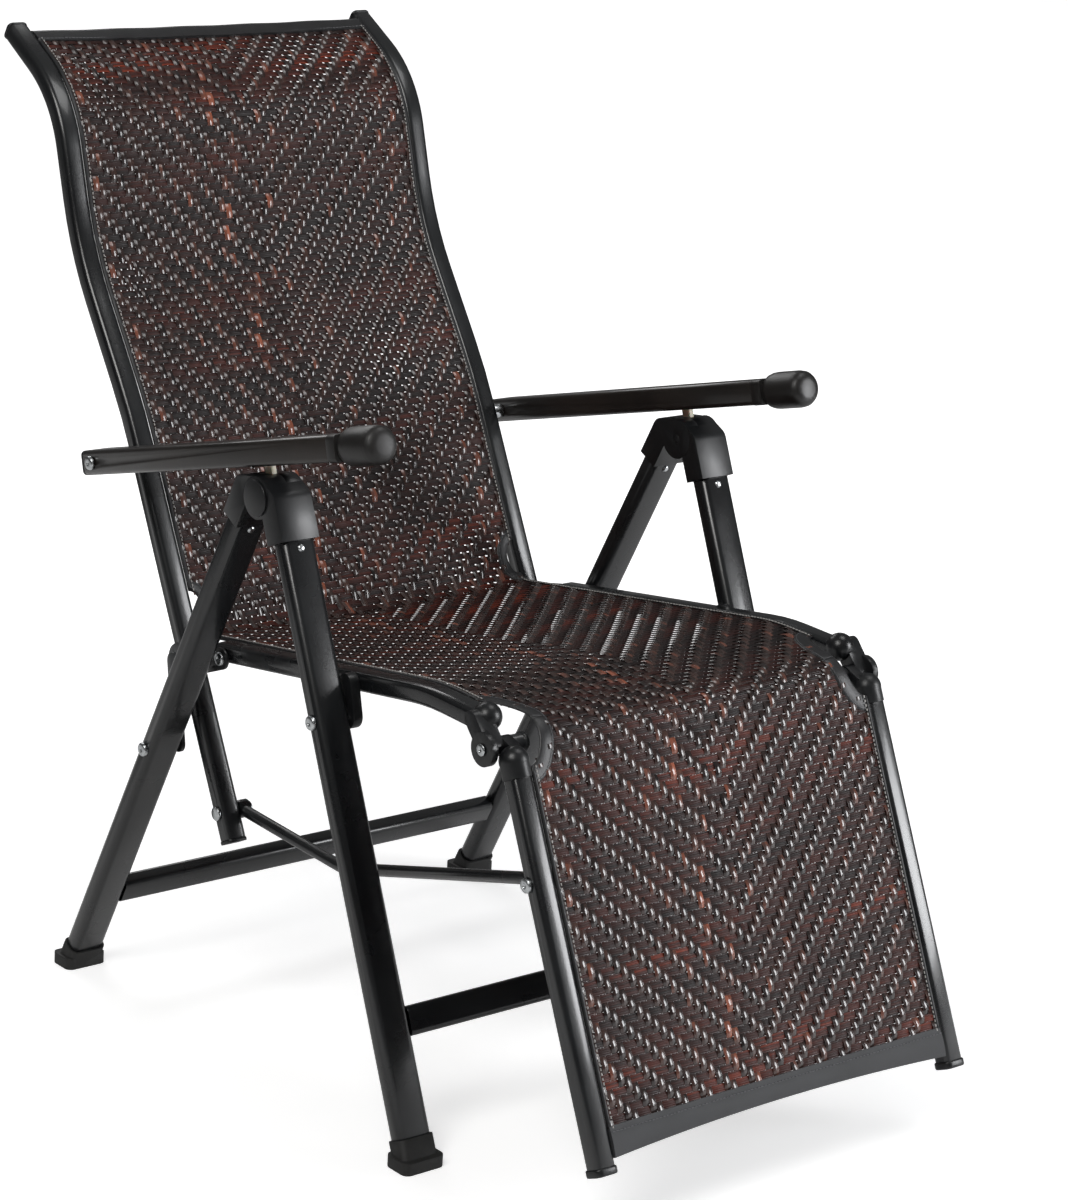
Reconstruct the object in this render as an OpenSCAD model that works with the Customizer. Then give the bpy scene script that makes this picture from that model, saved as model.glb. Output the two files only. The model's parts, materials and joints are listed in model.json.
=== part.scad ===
// Folding rattan lounger: sling chair with hinged back and footrest, link rods and scissor legs.
// X is across the chair, the front faces -Y and Z is up. Origin: on the floor, under the middle of its length.

/* [Width] */
// Width over the outer faces of the legs
frame_w = 600; // [570:1:640]
// Space between a leg and the seat rail beside it
side_gap = 13; // [12:0.5:18]

/* [Tubes] */
// Leg and armrest tube, width across the chair
leg_w = 40; // [34:1:44]
// Leg and armrest tube, depth
leg_d = 22; // [20:1:26]
// Rail tube of seat, back and footrest, width across the chair
rail_w = 24; // [20:1:28]
// Rail tube of seat, back and footrest, depth
rail_d = 21; // [18:1:24]
// Crossbar tube, height along the leg
bar_h = 30; // [24:1:36]
// Crossbar tube, thickness
bar_d = 20; // [16:1:22]
// Tube wall
wall = 1.4; // [1:0.1:2]
// Link rod diameter
rod_d = 13; // [10:0.5:13]

/* [Legs] */
// Height of the leg pivot at the apex
apex_z = 625; // [600:1:650]
// Distance of the apex pivot in front of the middle of the feet
apex_ahead = 37.5; // [30:0.5:45]
// Distance of the front foot from the middle
front_reach = 317; // [302:0.5:332]
// Distance of the rear foot from the middle
rear_reach = 318.5; // [303:0.5:333]
// Distance of the front leg ahead of the apex pivot
front_set = 18.8; // [16:0.1:22]
// Distance of the rear leg behind the apex pivot
rear_set = 28.5; // [26:0.1:32]
// Height of the front crossbar
front_bar_z = 131; // [110:1:160]
// Height of the rear crossbar
rear_bar_z = 101; // [90:1:130]
// Height of a foot pad
foot_h = 13; // [10:1:18]
// Rim of a foot pad round its leg
foot_rim = 5; // [3:0.5:8]

/* [Apex] */
// Radius of the apex knuckles round the pivot
knuckle_r = 22; // [20:0.5:22.5]
// Wall of the knuckle sleeves round the legs
sleeve_t = 2.6; // [2:0.1:2.8]
// Length of the knuckle sleeves on the legs
sleeve_len = 42; // [36:1:60]
// Apex pin diameter
apex_pin_d = 10; // [8:0.5:12]

/* [Seat] */
// Height of the seat pivot on the front leg
seat_pivot_z = 418; // [410:1:424]
// Depth of the seat pivot below its rail
hanger_drop = 34; // [30:0.5:38]
// Rear end of the seat rail, from the middle
seat_rear = 105.5; // [100:0.5:110]
// Length of the seat rail behind its crest
seat_len = 361.6; // [345:0.1:380]
// Length of the seat rail ahead of its crest
seat_nose = 85; // [75:0.5:95]
// Slope of the seat rail in degrees
seat_slope = 8.1; // [6:0.1:10]
// Distance of the back hinge from the end of the rail
back_hinge_in = 11; // [9:0.5:14]
// Distance of the back hinge below the middle of the rail
back_hinge_drop = 5; // [4:0.5:6]
// Downward slope of the seat rail's front end in degrees
knee_slope = 2; // [0:0.5:4]
// Radius of the seat rail's bend above the knee
seat_bend_r = 300; // [200:5:400]

/* [Back] */
// Lower end of the back tube, from the middle
back_foot_y = 82.5; // [78:0.5:88]
// Height of the back tube's lower end
back_foot_z = 212; // [200:1:220]
// Lean of the lower back in degrees
back_lean = 26.6; // [25:0.1:28]
// Length of the back tube below the lumbar bend
back_low = 473; // [460:1:486]
// Length of the back tube between the lumbar and shoulder bends
back_mid = 192.8; // [180:0.2:205]
// Length of the back tube between the shoulder and neck bends
back_high = 171.6; // [160:0.2:183]
// Length of the back tube beyond the neck bend
back_curl = 112.5; // [105:0.5:120]
// Radius of the lumbar bend
lumbar_r = 566; // [520:2:600]
// Radius of the shoulder bend
shoulder_r = 358; // [330:2:380]
// Radius of the neck bend
neck_r = 140; // [120:2:150]
// Lean of the back tube above the lumbar bend in degrees
mid_lean = 34.4; // [32:0.1:37]
// Lean of the back tube above the shoulder bend in degrees
high_lean = 15.9; // [13:0.1:18]
// Lean of the curl at the top in degrees
curl_lean = 59.6; // [56:0.1:63]
// Height of the recline pivot on the back tube
recline_z = 390; // [384:1:396]
// Height of the armrest pivot on the back tube
arm_pivot_z = 592; // [582:1:600]
// Height of the link pivot on the back tube
link_rear_z = 239; // [232:1:246]
// Height of the strap pivot on the rear leg
strap_z = 302; // [295:1:309]
// Distance of the head rod from the top of the tube
head_rod_in = 14; // [13:0.5:16]
// Diameter of the head rod at the top
head_rod_d = 15; // [12:0.5:18]

/* [Armrests] */
// Rise of the armrest to the front in degrees
arm_rise = 14.2; // [13.5:0.1:14.8]
// Height of the armrest tube
arm_h = 27; // [24:0.5:28]
// Length of the armrest tube ahead of its pivot
arm_len = 438; // [425:1:450]
// Length of the armrest tube behind its pivot
arm_tail = 16; // [12:0.5:18]
// Length of the grip
grip_len = 69; // [62:1:80]
// Diameter of the grip
grip_d = 40; // [36:1:42]
// Width of the slot under the armrest
slot_w = 12.5; // [11:0.5:14]
// Length of the slot under the armrest
slot_len = 250; // [240:5:262]

/* [Footrest] */
// Distance of the knee hinge ahead of the seat rail's end
knee_ahead = 22; // [20:0.5:24]
// Distance of the knee hinge below the seat rail's end
knee_drop = 19; // [18:0.5:20]
// Distance of the footrest tube ahead of the knee hinge
knee_set = 17.7; // [17:0.1:19]
// Distance of the footrest tube's end below the knee hinge
knee_under = 16.7; // [16:0.1:18]
// Slope of the footrest from upright in degrees
foot_slope = 24; // [22:0.5:26]
// Diameter of the disc on the outside of the knee hinge
knee_disc_d = 34; // [30:1:36]
// Diameter of the barrel through the knee hinge
barrel_d = 18; // [16:0.5:19]
// Length of the barrel towards the middle of the seat
barrel_len = 17; // [12:1:20]
// Length of the footrest tube
foot_len = 394; // [370:1:410]
// Height of the link pivot on the footrest
link_front_z = 329; // [320:1:338]
// Distance of the link rods' bend ahead of the middle
rod_bend_ahead = 92.5; // [80:0.5:105]
// Drop of the link rods to their bend
rod_sag = 8; // [5:0.5:12]
// Height of the footrest hem
hem_h = 28; // [24:1:34]

/* [Sling and fasteners] */
// Thickness of the sling
sling_t = 3; // [2:0.2:3.6]
// Width lost on each side of the sling at its cutouts
cut_in = 24; // [20:1:30]
// Radius of the cutouts at the knee
knee_cut = 68; // [66:1:74]
// Radius of the cutouts at the back hinge
hinge_cut = 46; // [44:1:52]
// Length of the seat sling behind the end of its rail
sling_tail = 64; // [56:1:68]
// Bolt diameter
bolt_d = 8; // [6:0.5:8]
// Bolt head diameter
head_d = 15; // [13:0.5:16]
// Bolt head height
head_h = 3; // [2:0.1:3]
// Rivet head diameter
rivet_d = 9; // [7:0.5:10]

/* [Hidden] */
$fn = 48;
LEFT = 1;
RIGHT = -1;
run_gap = 0.05;
play = 0.3;
bore_d = bolt_d + 2 * run_gap;
out_x = frame_w / 2;
leg_in = out_x - leg_w;
leg_x = out_x - leg_w / 2;
rail_out = leg_in - side_gap;
rail_in = rail_out - rail_w;
rail_x = rail_out - rail_w / 2;
slit_x = leg_x - 4;
inset = 0.6;
corner_leg = 8;
corner_arm = 5;
corner_rail = 6;
foot_top = 30;
tube_floor = 5;
slot_from = arm_len - slot_len - 3;
slide_w = slot_w + 6;
slide_h = 12;
tongue_w = 12;
tongue_t = 6;
tongue_lean = 18;
tongue_in = 8;
grip_sleeve = 14;
rear_y = rear_reach;
front_y = -front_reach;
apex = [-apex_ahead, apex_z];
front_top = [-apex_ahead - front_set, apex_z];
rear_top = [-apex_ahead + rear_set, apex_z];
plate_t = 3;
plate_x = rail_out + play;
strap_t = 4;
strap_x = leg_in - 2 - strap_t;
lug_x = rail_out + 2.3;
lug_t = 7;
ball_r = 15;
ball_rise = 4;
hub_r = 8.8;
hub_x = rail_x;
washer_t = 1;
cap_len = 17;
rod_x = rail_in - 0.5 - rod_d / 2;
sling_off = rail_d / 2 - sling_t / 2 - 1;
function front_leg_y(z) = front_y + (front_top[0] - front_y) * z / apex_z;
function rear_leg_y(z) = rear_y + (rear_top[0] - rear_y) * z / apex_z;
function back_y(z) = back_foot_y + (z - back_foot_z) * tan(back_lean);
seat_pivot = [front_leg_y(seat_pivot_z), seat_pivot_z];
seat_dir = [-cos(seat_slope), sin(seat_slope)];
seat_up = [sin(seat_slope), cos(seat_slope)];
hang_at = seat_pivot + hanger_drop * seat_up;
seat_back_end = hang_at - seat_dir * (seat_rear - hang_at[0]) / cos(seat_slope);
front_dir = [-cos(knee_slope), -sin(knee_slope)];
front_up = [-sin(knee_slope), cos(knee_slope)];
seat_crest = seat_back_end + seat_dir * seat_len;
seat_front_end = seat_crest + front_dir * seat_nose;
back_hinge = seat_back_end + seat_dir * back_hinge_in - seat_up * back_hinge_drop;
recline_pin = [back_y(recline_z) + 2, recline_z];
arm_pin = [back_y(arm_pivot_z) + 2, arm_pivot_z];
link_rear = [back_y(link_rear_z), link_rear_z];
strap_pin = [rear_leg_y(strap_z), strap_z];
knee = seat_front_end + front_dir * knee_ahead - front_up * knee_drop;
foot_dir = [-sin(foot_slope), -cos(foot_slope)];
foot_front = [-cos(foot_slope), sin(foot_slope)];
foot_start = knee + foot_front * knee_set + foot_dir * knee_under;
foot_end = foot_start + foot_dir * foot_len;
link_front = foot_start + foot_dir * (foot_start[1] - link_front_z) / cos(foot_slope) - foot_front * 4;
link_bend = [-rod_bend_ahead, link_rear_z - rod_sag];
arm_dir = [-cos(arm_rise), sin(arm_rise)];
back_base = [back_foot_y, back_foot_z];
function step(len, lean) = len * [sin(lean), cos(lean)];
lumbar = back_base + step(back_low, back_lean);
shoulder = lumbar + step(back_mid, mid_lean);
neck = shoulder + step(back_high, high_lean);
back_top = neck + step(back_curl, curl_lean);
back_path = [back_base, lumbar, shoulder, neck, back_top];
back_radii = [0, lumbar_r, shoulder_r, neck_r, 0];
sling_base_z = 428;
sling_path = [[back_y(sling_base_z), sling_base_z], lumbar, shoulder, neck,
    back_top - step(head_rod_in + head_rod_d / 2 + play, curl_lean)];

// Rounded rectangle about the origin
function round_rect(w, d, r, n = 4) = [for (q = [0:3]) for (k = [0:n])
    let (a = q * 90 + k * 90 / n, sx = (q == 0 || q == 3) ? 1 : -1, sy = q < 2 ? 1 : -1)
    [sx * (w / 2 - r) + r * cos(a), sy * (d / 2 - r) + r * sin(a)]];

// Outline round two circles and the space between them
function tab(p, rp, q, rq, n = 12) =
    let (t = atan2(q[1] - p[1], q[0] - p[0]), b = acos((rp - rq) / norm(q - p)))
    concat([for (k = [0:n]) q + rq * [cos(t - b + 2 * b * k / n), sin(t - b + 2 * b * k / n)]],
        [for (k = [0:n]) p + rp * [cos(t + b + (360 - 2 * b) * k / n), sin(t + b + (360 - 2 * b) * k / n)]]);

// Lean of a line from upright towards the rear
function heading(p, q) = atan2(q[0] - p[0], q[1] - p[1]);
function wrap(a) = a > 180 ? a - 360 : a < -180 ? a + 360 : a;
function turn(pts, i) = (i < 1 || i > len(pts) - 2) ? 0
    : wrap(heading(pts[i], pts[i + 1]) - heading(pts[i - 1], pts[i]));
function setback(pts, r, i) = r[i] * tan(abs(turn(pts, i)) / 2);

// What is drawn for the left side, on the side asked for
module on_side(side) {
    if (side == LEFT) children();
    else mirror([1, 0, 0]) children();
}

// A side view drawn in (y, z), as thick as from x0 to x1
module slab(x0, x1) {
    translate([x0, 0, 0]) rotate([90, 0, 90]) linear_extrude(height = x1 - x0) children();
}

module pin(at, x0, x1, d) {
    slab(x0, x1) translate(at) circle(d = d);
}

// A straight length from p to q in the side view, with the section drawn across it
module beam(p, q) {
    translate([0, p[0], p[1]]) rotate([-heading(p, q), 0, 0]) linear_extrude(height = norm(q - p))
        children();
}

// Places along a path of (y, z) corners with their bend radii: the point and the heading there
function across(h) = [cos(h), -sin(h)];
function bend_steps(pts, i) = max(1, ceil(abs(turn(pts, i)) / 4));
function places(pts, r) = concat([[pts[0], heading(pts[0], pts[1])]],
    [for (i = [1:1:len(pts) - 2])
        let (h = heading(pts[i - 1], pts[i]), a = turn(pts, i), n = bend_steps(pts, i),
            start = pts[i] - setback(pts, r, i) * [sin(h), cos(h)])
        for (k = [0:n]) let (g = h + a * k / n)
            [start + sign(a) * r[i] * (across(h) - across(g)), g]],
    [[pts[len(pts) - 1], heading(pts[len(pts) - 2], pts[len(pts) - 1])]]);

// A section carried along a path; inner is the outline of its hollow, with as many points as outer
module along(pts, r, outer, inner = []) {
    at = places(pts, r);
    n = len(outer);
    m = len(at);
    loops = len(inner) > 0 ? [outer, inner] : [outer];
    points = [for (loop = loops) for (p = at) for (c = loop)
        [c[0], p[0][0] + c[1] * cos(p[1]), p[0][1] - c[1] * sin(p[1])]];
    skin = [for (s = [0:m - 2]) for (j = [0:n - 1]) let (a = s * n + j, b = s * n + (j + 1) % n)
        each [[a, a + n, b + n], [a, b + n, b]]];
    hollow = len(inner) > 0;
    lining = hollow ? [for (f = skin) [f[2] + m * n, f[1] + m * n, f[0] + m * n]] : [];
    far = (m - 1) * n;
    ends = hollow ? [for (j = [0:n - 1]) let (k = (j + 1) % n)
        each [[j, k, k + m * n], [j, k + m * n, j + m * n],
            [far + j, far + k + m * n, far + k], [far + j, far + j + m * n, far + k + m * n]]]
        : [[for (j = [0:n - 1]) j], [for (j = [n - 1:-1:0]) far + j]];
    polyhedron(points = points, faces = concat(skin, lining, ends), convexity = 8);
}

function tube_hole(w, d, r) = round_rect(w - 2 * wall, d - 2 * wall, r - wall);

module section(w, d, r, hollow = true) {
    difference() {
        polygon(round_rect(w, d, r));
        if (hollow) polygon(tube_hole(w, d, r));
    }
}

module rail(pts, r, hollow = true) {
    translate([rail_x, 0, 0]) along(pts, r, round_rect(rail_w, rail_d, corner_rail),
        hollow ? tube_hole(rail_w, rail_d, corner_rail) : []);
}

module below_floor(z) {
    translate([-2 * out_x, -1000, z - 200]) cube([4 * out_x, 2000, 200]);
}

// A leg runs from its foot up to the knuckle, clear of the other leg's knuckle
module leg_body(foot, top, hollow = true) {
    up = (top - foot) / norm(top - foot);
    reach = (apex - foot) * up - knuckle_r - 1;
    difference() {
        translate([leg_x, 0, 0]) beam(foot - 20 * up, foot + up * reach)
            section(leg_w, leg_d, corner_leg, hollow);
        below_floor(tube_floor);
    }
}

module front_leg_body(hollow = true) {
    leg_body([front_y, 0], front_top, hollow);
}

module rear_leg_body(hollow = true) {
    leg_body([rear_y, 0], rear_top, hollow);
}

module front_leg(side) {
    color("#26282a") on_side(side) difference() {
        front_leg_body();
        pin(seat_pivot, leg_in - 1, out_x + 1, bore_d);
    }
}

module rear_leg(side) {
    color("#26282a") on_side(side) difference() {
        rear_leg_body();
        pin(strap_pin, leg_in - 1, out_x + 1, bore_d);
    }
}

module crossbar(y, z, lean) {
    color("#26282a") translate([-leg_in, y, z]) rotate([lean, 0, 0]) rotate([90, 0, 90])
        linear_extrude(height = 2 * leg_in) section(bar_d, bar_h, corner_rail);
}

module front_crossbar() {
    crossbar(front_leg_y(front_bar_z), front_bar_z, -heading([front_y, 0], front_top));
}

module rear_crossbar() {
    crossbar(rear_leg_y(rear_bar_z), rear_bar_z, -heading([rear_y, 0], rear_top));
}

// A rubber foot: a square pad and a short sleeve, moulded round the end of the leg
module foot(base, top) {
    up = (top - base) / norm(top - base);
    difference() {
        union() {
            translate([leg_x, base[0] + foot_h / 2 * up[0], 0]) linear_extrude(height = foot_h)
                polygon(round_rect(leg_w + 2 * foot_rim, leg_d + 2 * foot_rim + 4, corner_leg));
            translate([leg_x, 0, 0]) beam(base - 20 * up, base + foot_top * up)
                section(leg_w + 4, leg_d + 4, corner_leg, false);
        }
        below_floor(0);
        leg_body(base, top, false);
    }
}

module front_foot(side) {
    color("#2b2b2c") on_side(side) foot([front_y, 0], front_top);
}

module rear_foot(side) {
    color("#2b2b2c") on_side(side) foot([rear_y, 0], rear_top);
}

// Where the straight part of a knuckle's sleeve begins on the middle of its leg
function sleeve_high(base, up) = base + up * ((apex - base) * up - 8);

// Side view of a knuckle's sleeve on its leg, blended towards the pivot and cut off at the inner face
module sleeve_view(base, top, set) {
    up = (top - base) / norm(top - base);
    out = sign(set) * [up[1], -up[0]];
    high = sleeve_high(base, up);
    r = leg_d / 2 + sleeve_t;
    inner = (high - apex) * out - r;
    low = high - up * sleeve_len;
    corner = apex + out * inner;
    difference() {
        union() {
            polygon(tab(high, r, low, r));
            polygon(tab(apex, knuckle_r - inset, high, r));
        }
        polygon([corner + up * 60, corner - up * 160, corner - up * 160 - out * 80, corner + up * 60 - out * 80]);
        polygon([low, low + out * 60, low + out * 60 - up * 60, low - out * 60 - up * 60, low - out * 60]);
    }
}

module front_knuckle(side) {
    color("#1e1f20") on_side(side) difference() {
        union() {
            difference() {
                slab(leg_in - sleeve_t, out_x + sleeve_t) sleeve_view([front_y, 0], front_top, -1);
                pin(apex, 0, slit_x + play / 2, 2 * knuckle_r + 2 * play);
            }
            pin(apex, slit_x + play / 2, out_x + sleeve_t, 2 * knuckle_r);
        }
        front_leg_body(false);
        pin(apex, 0, 2 * out_x, apex_pin_d + 2 * run_gap);
    }
}

module rear_knuckle(side) {
    color("#1e1f20") on_side(side) difference() {
        union() {
            difference() {
                slab(leg_in - sleeve_t, out_x + sleeve_t) sleeve_view([rear_y, 0], rear_top, 1);
                pin(apex, slit_x - play / 2, 2 * out_x, 2 * knuckle_r + 2 * play);
            }
            pin(apex, leg_in - sleeve_t, slit_x - play / 2, 2 * knuckle_r);
        }
        rear_leg_body(false);
        pin(apex, 0, 2 * out_x, apex_pin_d + 2 * run_gap);
    }
}

module apex_pins() {
    color("#1e1f20") for (side = [LEFT, RIGHT]) on_side(side) {
        pin(apex, leg_in - sleeve_t, out_x + sleeve_t + 1, apex_pin_d);
        pin(apex, out_x + sleeve_t, out_x + sleeve_t + 2.5, 38);
    }
}

// A domed rivet on the front face of a leg, below its knuckle
module rivet(base, top, face) {
    up = (top - base) / norm(top - base);
    at = base + up * ((apex - base) * up - 8 - sleeve_len - 8) + face * leg_d / 2 * [up[1], -up[0]];
    translate([leg_x, at[0], at[1]]) rotate([-heading(base, top), 0, 0]) rotate([-90 * face, 0, 0])
        cylinder(d1 = rivet_d, d2 = rivet_d * 0.6, h = 2.2);
}

module front_rivets() {
    color("#c9ccce") for (side = [LEFT, RIGHT]) on_side(side) rivet([front_y, 0], front_top, -1);
}

module rear_rivets() {
    color("#c9ccce") for (side = [LEFT, RIGHT]) on_side(side) rivet([rear_y, 0], rear_top, -1);
}

module seat_pivot_bolts() {
    color("#c9ccce") for (side = [LEFT, RIGHT]) on_side(side) {
        pin(seat_pivot, rail_out - 2, out_x + 1, bolt_d);
        pin(seat_pivot, out_x, out_x + head_h, head_d);
    }
}

// The tongue stands on the crown of the apex, leans back and guides the armrest by its slot
module lock_tongues() {
    reach = (arm_pin[0] - apex[0]) * sin(arm_rise) + (arm_pin[1] - apex[1]) * cos(arm_rise);
    high = (reach - arm_h / 2) / cos(tongue_lean - arm_rise) + tongue_in;
    base = [rear_y, 0];
    sleeve = sleeve_high(base, (rear_top - base) / norm(rear_top - base));
    color("#d9d3c0") for (side = [LEFT, RIGHT]) on_side(side) difference() {
        translate([leg_x, apex[0], apex[1]]) rotate([-tongue_lean, 0, 0]) {
            translate([-tongue_t / 2, -tongue_w / 2, 0]) cube([tongue_t, tongue_w, high]);
            translate([-tongue_t / 2 - 1, -tongue_w / 2, high - 3]) cube([tongue_t + 2, tongue_w, 3]);
        }
        pin(apex, 0, 2 * out_x, 2 * knuckle_r);
        slab(leg_in, out_x)
            polygon(tab(apex, knuckle_r - inset + 2 * play, sleeve, leg_d / 2 + sleeve_t + 2 * play));
    }
}

module strap_bolts() {
    color("#c9ccce") for (side = [LEFT, RIGHT]) on_side(side) {
        pin(strap_pin, strap_x - 0.5, out_x + 1, bolt_d);
        pin(strap_pin, out_x, out_x + head_h, head_d);
        pin(strap_pin, strap_x - 0.5 - play, strap_x - play, head_d);
    }
}

module strap(side) {
    color("#303234") on_side(side) difference() {
        slab(strap_x, strap_x + strap_t) polygon(tab(strap_pin, 10, recline_pin, 10));
        pin(strap_pin, 0, 2 * out_x, bore_d);
    }
}

module seat_rail_body(hollow = true) {
    rail([seat_back_end, seat_crest, seat_front_end], [0, seat_bend_r, 0], hollow);
}

module seat_rail(side) {
    color("#26282a") on_side(side) difference() {
        seat_rail_body();
        pin(back_hinge, 0, 2 * out_x, bore_d);
    }
}

module seat_hanger(side) {
    color("#1e1f20") on_side(side) difference() {
        slab(rail_out, leg_in - 2) polygon(tab(seat_pivot, 13, hang_at, 10));
        pin(seat_pivot, 0, 2 * out_x, bore_d);
    }
}

// Ball end on the front of the seat rail, with the web down to the knee hinge and its outer disc
module seat_knee_socket(side) {
    ball = seat_front_end + ball_rise * front_up;
    color("#1e1f20") on_side(side) difference() {
        union() {
            translate([rail_x, ball[0], ball[1]]) rotate([0, 90, 0]) sphere(r = ball_r);
            slab(hub_x + play, lug_x + lug_t - 1) polygon(tab(knee, hub_r, ball, barrel_d / 2));
            pin(knee, lug_x + play, lug_x + play + lug_t, knee_disc_d);
        }
        seat_rail_body(false);
        pin(knee, 0, 2 * out_x, bore_d);
    }
}

module back_hinge_bolts() {
    color("#c9ccce") for (side = [LEFT, RIGHT]) on_side(side) {
        pin(back_hinge, rail_in, plate_x + plate_t + play + 1, bolt_d);
        pin(back_hinge, plate_x + plate_t + play, plate_x + plate_t + play + 2, head_d);
    }
}

// Section of a sling stretched between its rails, on the side of them that off points to
function flat(off) = [for (c = [[1, 1], [-1, 1], [-1, -1], [1, -1]])
    [c[0] * rail_in, off + c[1] * sling_t / 2]];

// Clears both edges of a sling inside a circle of the side view
module edge_cut(at, r) {
    for (side = [LEFT, RIGHT]) on_side(side) pin(at, rail_in - cut_in, rail_in + 1, 2 * r);
}

// Seat sling: a tail towards the back, the seat between the rails and the turn over the knee
module seat_sling() {
    tail = seat_back_end - sling_tail * seat_dir;
    over = 90 - foot_slope - knee_slope - 6;
    bend_at = knee_drop * tan(over / 2);
    brow = seat_front_end + front_dir * (knee_ahead + bend_at);
    last = brow + step(bend_at + 0.5, -90 - knee_slope - over);
    color("#3b2620") difference() {
        along([tail, seat_crest, brow, last], [0, seat_bend_r, knee_drop, 0], flat(sling_off));
        edge_cut(knee, knee_cut);
        edge_cut((tail + seat_back_end) / 2, hinge_cut);
    }
}

module back_bracket(side) {
    color("#303234") on_side(side) difference() {
        slab(plate_x, plate_x + plate_t) polygon(tab(back_hinge, 12, recline_pin, 19));
        pin(back_hinge, 0, 2 * out_x, bore_d);
        pin(recline_pin, 0, 2 * out_x, bore_d);
    }
}

module back_tube(side) {
    color("#26282a") on_side(side) difference() {
        rail(back_path, back_radii);
        for (at = [link_rear, recline_pin, arm_pin]) pin(at, 0, 2 * out_x, bore_d);
    }
}

module head_rod() {
    at = back_top - step(head_rod_in, curl_lean);
    color("#232323") pin(at, -rail_in, rail_in, head_rod_d);
}

// A thin plug that closes the end of a rail tube
module rail_plug(at, to) {
    translate([rail_x, 0, 0]) beam(at, at + 4 * (to - at) / norm(to - at))
        section(rail_w + 1, rail_d + 1, corner_rail, false);
}

module back_caps() {
    color("#1e1f20") for (side = [LEFT, RIGHT]) on_side(side)
        rail_plug(back_top, back_top + back_top - back_path[3]);
}

module back_plugs() {
    color("#1e1f20") for (side = [LEFT, RIGHT]) on_side(side)
        rail_plug(back_base, back_base + back_base - back_path[1]);
}

module recline_bolts() {
    color("#c9ccce") for (side = [LEFT, RIGHT]) on_side(side) {
        pin(recline_pin, rail_in, plate_x + plate_t + play + 1, bolt_d);
        pin(recline_pin, plate_x + plate_t + play, plate_x + plate_t + play + 2, head_d);
        pin(recline_pin, rail_in - 2, rail_in, head_d);
    }
}

module back_sling() {
    color("#3b2620") along(sling_path, back_radii, flat(-sling_off));
}

module arm_bolts() {
    color("#c9ccce") for (side = [LEFT, RIGHT]) on_side(side) {
        pin(arm_pin, rail_in, out_x + 1, bolt_d);
        pin(arm_pin, rail_out + play, leg_in - play, 2 * bolt_d);
        pin(arm_pin, out_x + play, out_x + play + head_h, head_d);
    }
}

module arm_body(hollow = true) {
    translate([leg_x, 0, 0]) beam(arm_pin - arm_dir * arm_tail, arm_pin + arm_dir * arm_len)
        section(leg_w, arm_h, corner_arm, hollow);
}

// What lies under the armrest, in its own directions: x across, y to the front, z up from its underside
module under_arm(start) {
    at = arm_pin + arm_dir * start - arm_h / 2 * [sin(arm_rise), cos(arm_rise)];
    translate([leg_x, at[0], at[1]]) rotate([-arm_rise, 0, 0]) mirror([0, 1, 0]) children();
}

module armrest(side) {
    color("#27231f") on_side(side) difference() {
        arm_body();
        under_arm(slot_from) translate([-slide_w / 2, 0, -1]) cube([slide_w, slot_len, slide_h / 2]);
        pin(arm_pin, 0, 2 * out_x, bore_d);
    }
}

module arm_slide(side) {
    color("#1e1f20") on_side(side) under_arm(slot_from) difference() {
        translate([-slide_w / 2, 0, 0]) cube([slide_w, slot_len, slide_h]);
        translate([-slot_w / 2, 4, -1]) cube([slot_w, slot_len - 8, slide_h - 1]);
    }
}

// The grip caps the tube with a flat sleeve and swells to a round barrel with a rounded end
module arm_grip(side) {
    at = arm_pin + arm_dir * arm_len;
    neck_at = at + arm_dir * grip_sleeve;
    r = grip_d / 2;
    long = grip_len - grip_sleeve;
    outline = [[0, r - 3], [2, r - 1.6], [6, r - 0.5], [12, r], [long - 13, r], [long - 7, r - 0.9],
        [long - 3.5, r - 3], [long - 1.2, r - 6.2], [long, r - 11]];
    color("#2a2826") on_side(side) {
        translate([leg_x, 0, 0]) beam(at, neck_at) section(leg_w + 0.8, arm_h + 0.8, corner_arm, false);
        translate([leg_x, neck_at[0], neck_at[1]]) rotate([90 - arm_rise, 0, 0])
            for (k = [0:len(outline) - 2])
                translate([0, 0, outline[k][0]])
                    cylinder(r1 = outline[k][1], r2 = outline[k + 1][1], h = outline[k + 1][0] - outline[k][0]);
    }
}

module arm_plugs() {
    at = arm_pin - arm_dir * arm_tail;
    color("#1e1f20") for (side = [LEFT, RIGHT]) on_side(side) translate([leg_x, 0, 0])
        beam(at, at - 4 * arm_dir) section(leg_w, arm_h, corner_arm, false);
}

module link_pins() {
    color("#c9ccce") for (side = [LEFT, RIGHT]) on_side(side) {
        pin(link_rear, rod_x - rod_d / 2 - 1, rail_out + play + 1, bolt_d);
        pin(link_rear, rail_out + play, rail_out + play + head_h, head_d);
        pin(link_rear, rod_x - rod_d / 2 - play - 3, rod_x - rod_d / 2 - play, head_d);
    }
}

module link_rod(side) {
    color("#26282a") on_side(side) difference() {
        union() {
            translate([rod_x, 0, 0]) along([link_rear, link_bend, link_front], [0, 60, 0],
                [for (k = [0:15]) rod_d / 2 * [cos(k * 22.5), sin(k * 22.5)]]);
            pin(link_rear, rod_x - rod_d / 2, rod_x + rod_d / 2, 20);
            pin(link_front, rod_x - rod_d / 2 + 1, rod_x + rod_d / 2, rod_d + 3);
        }
        pin(link_rear, 0, 2 * out_x, bore_d);
    }
}

module knee_barrels() {
    inner = rail_in - play;
    outer = lug_x + lug_t + 2 * play;
    color("#303234") for (side = [LEFT, RIGHT]) on_side(side) {
        pin(knee, inner - barrel_len, outer + washer_t, bolt_d);
        pin(knee, inner - barrel_len, inner, barrel_d);
        pin(knee, inner - barrel_len, inner - barrel_len + 4, barrel_d + 3);
        pin(knee, outer, outer + washer_t, bolt_d + 3);
    }
}

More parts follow.
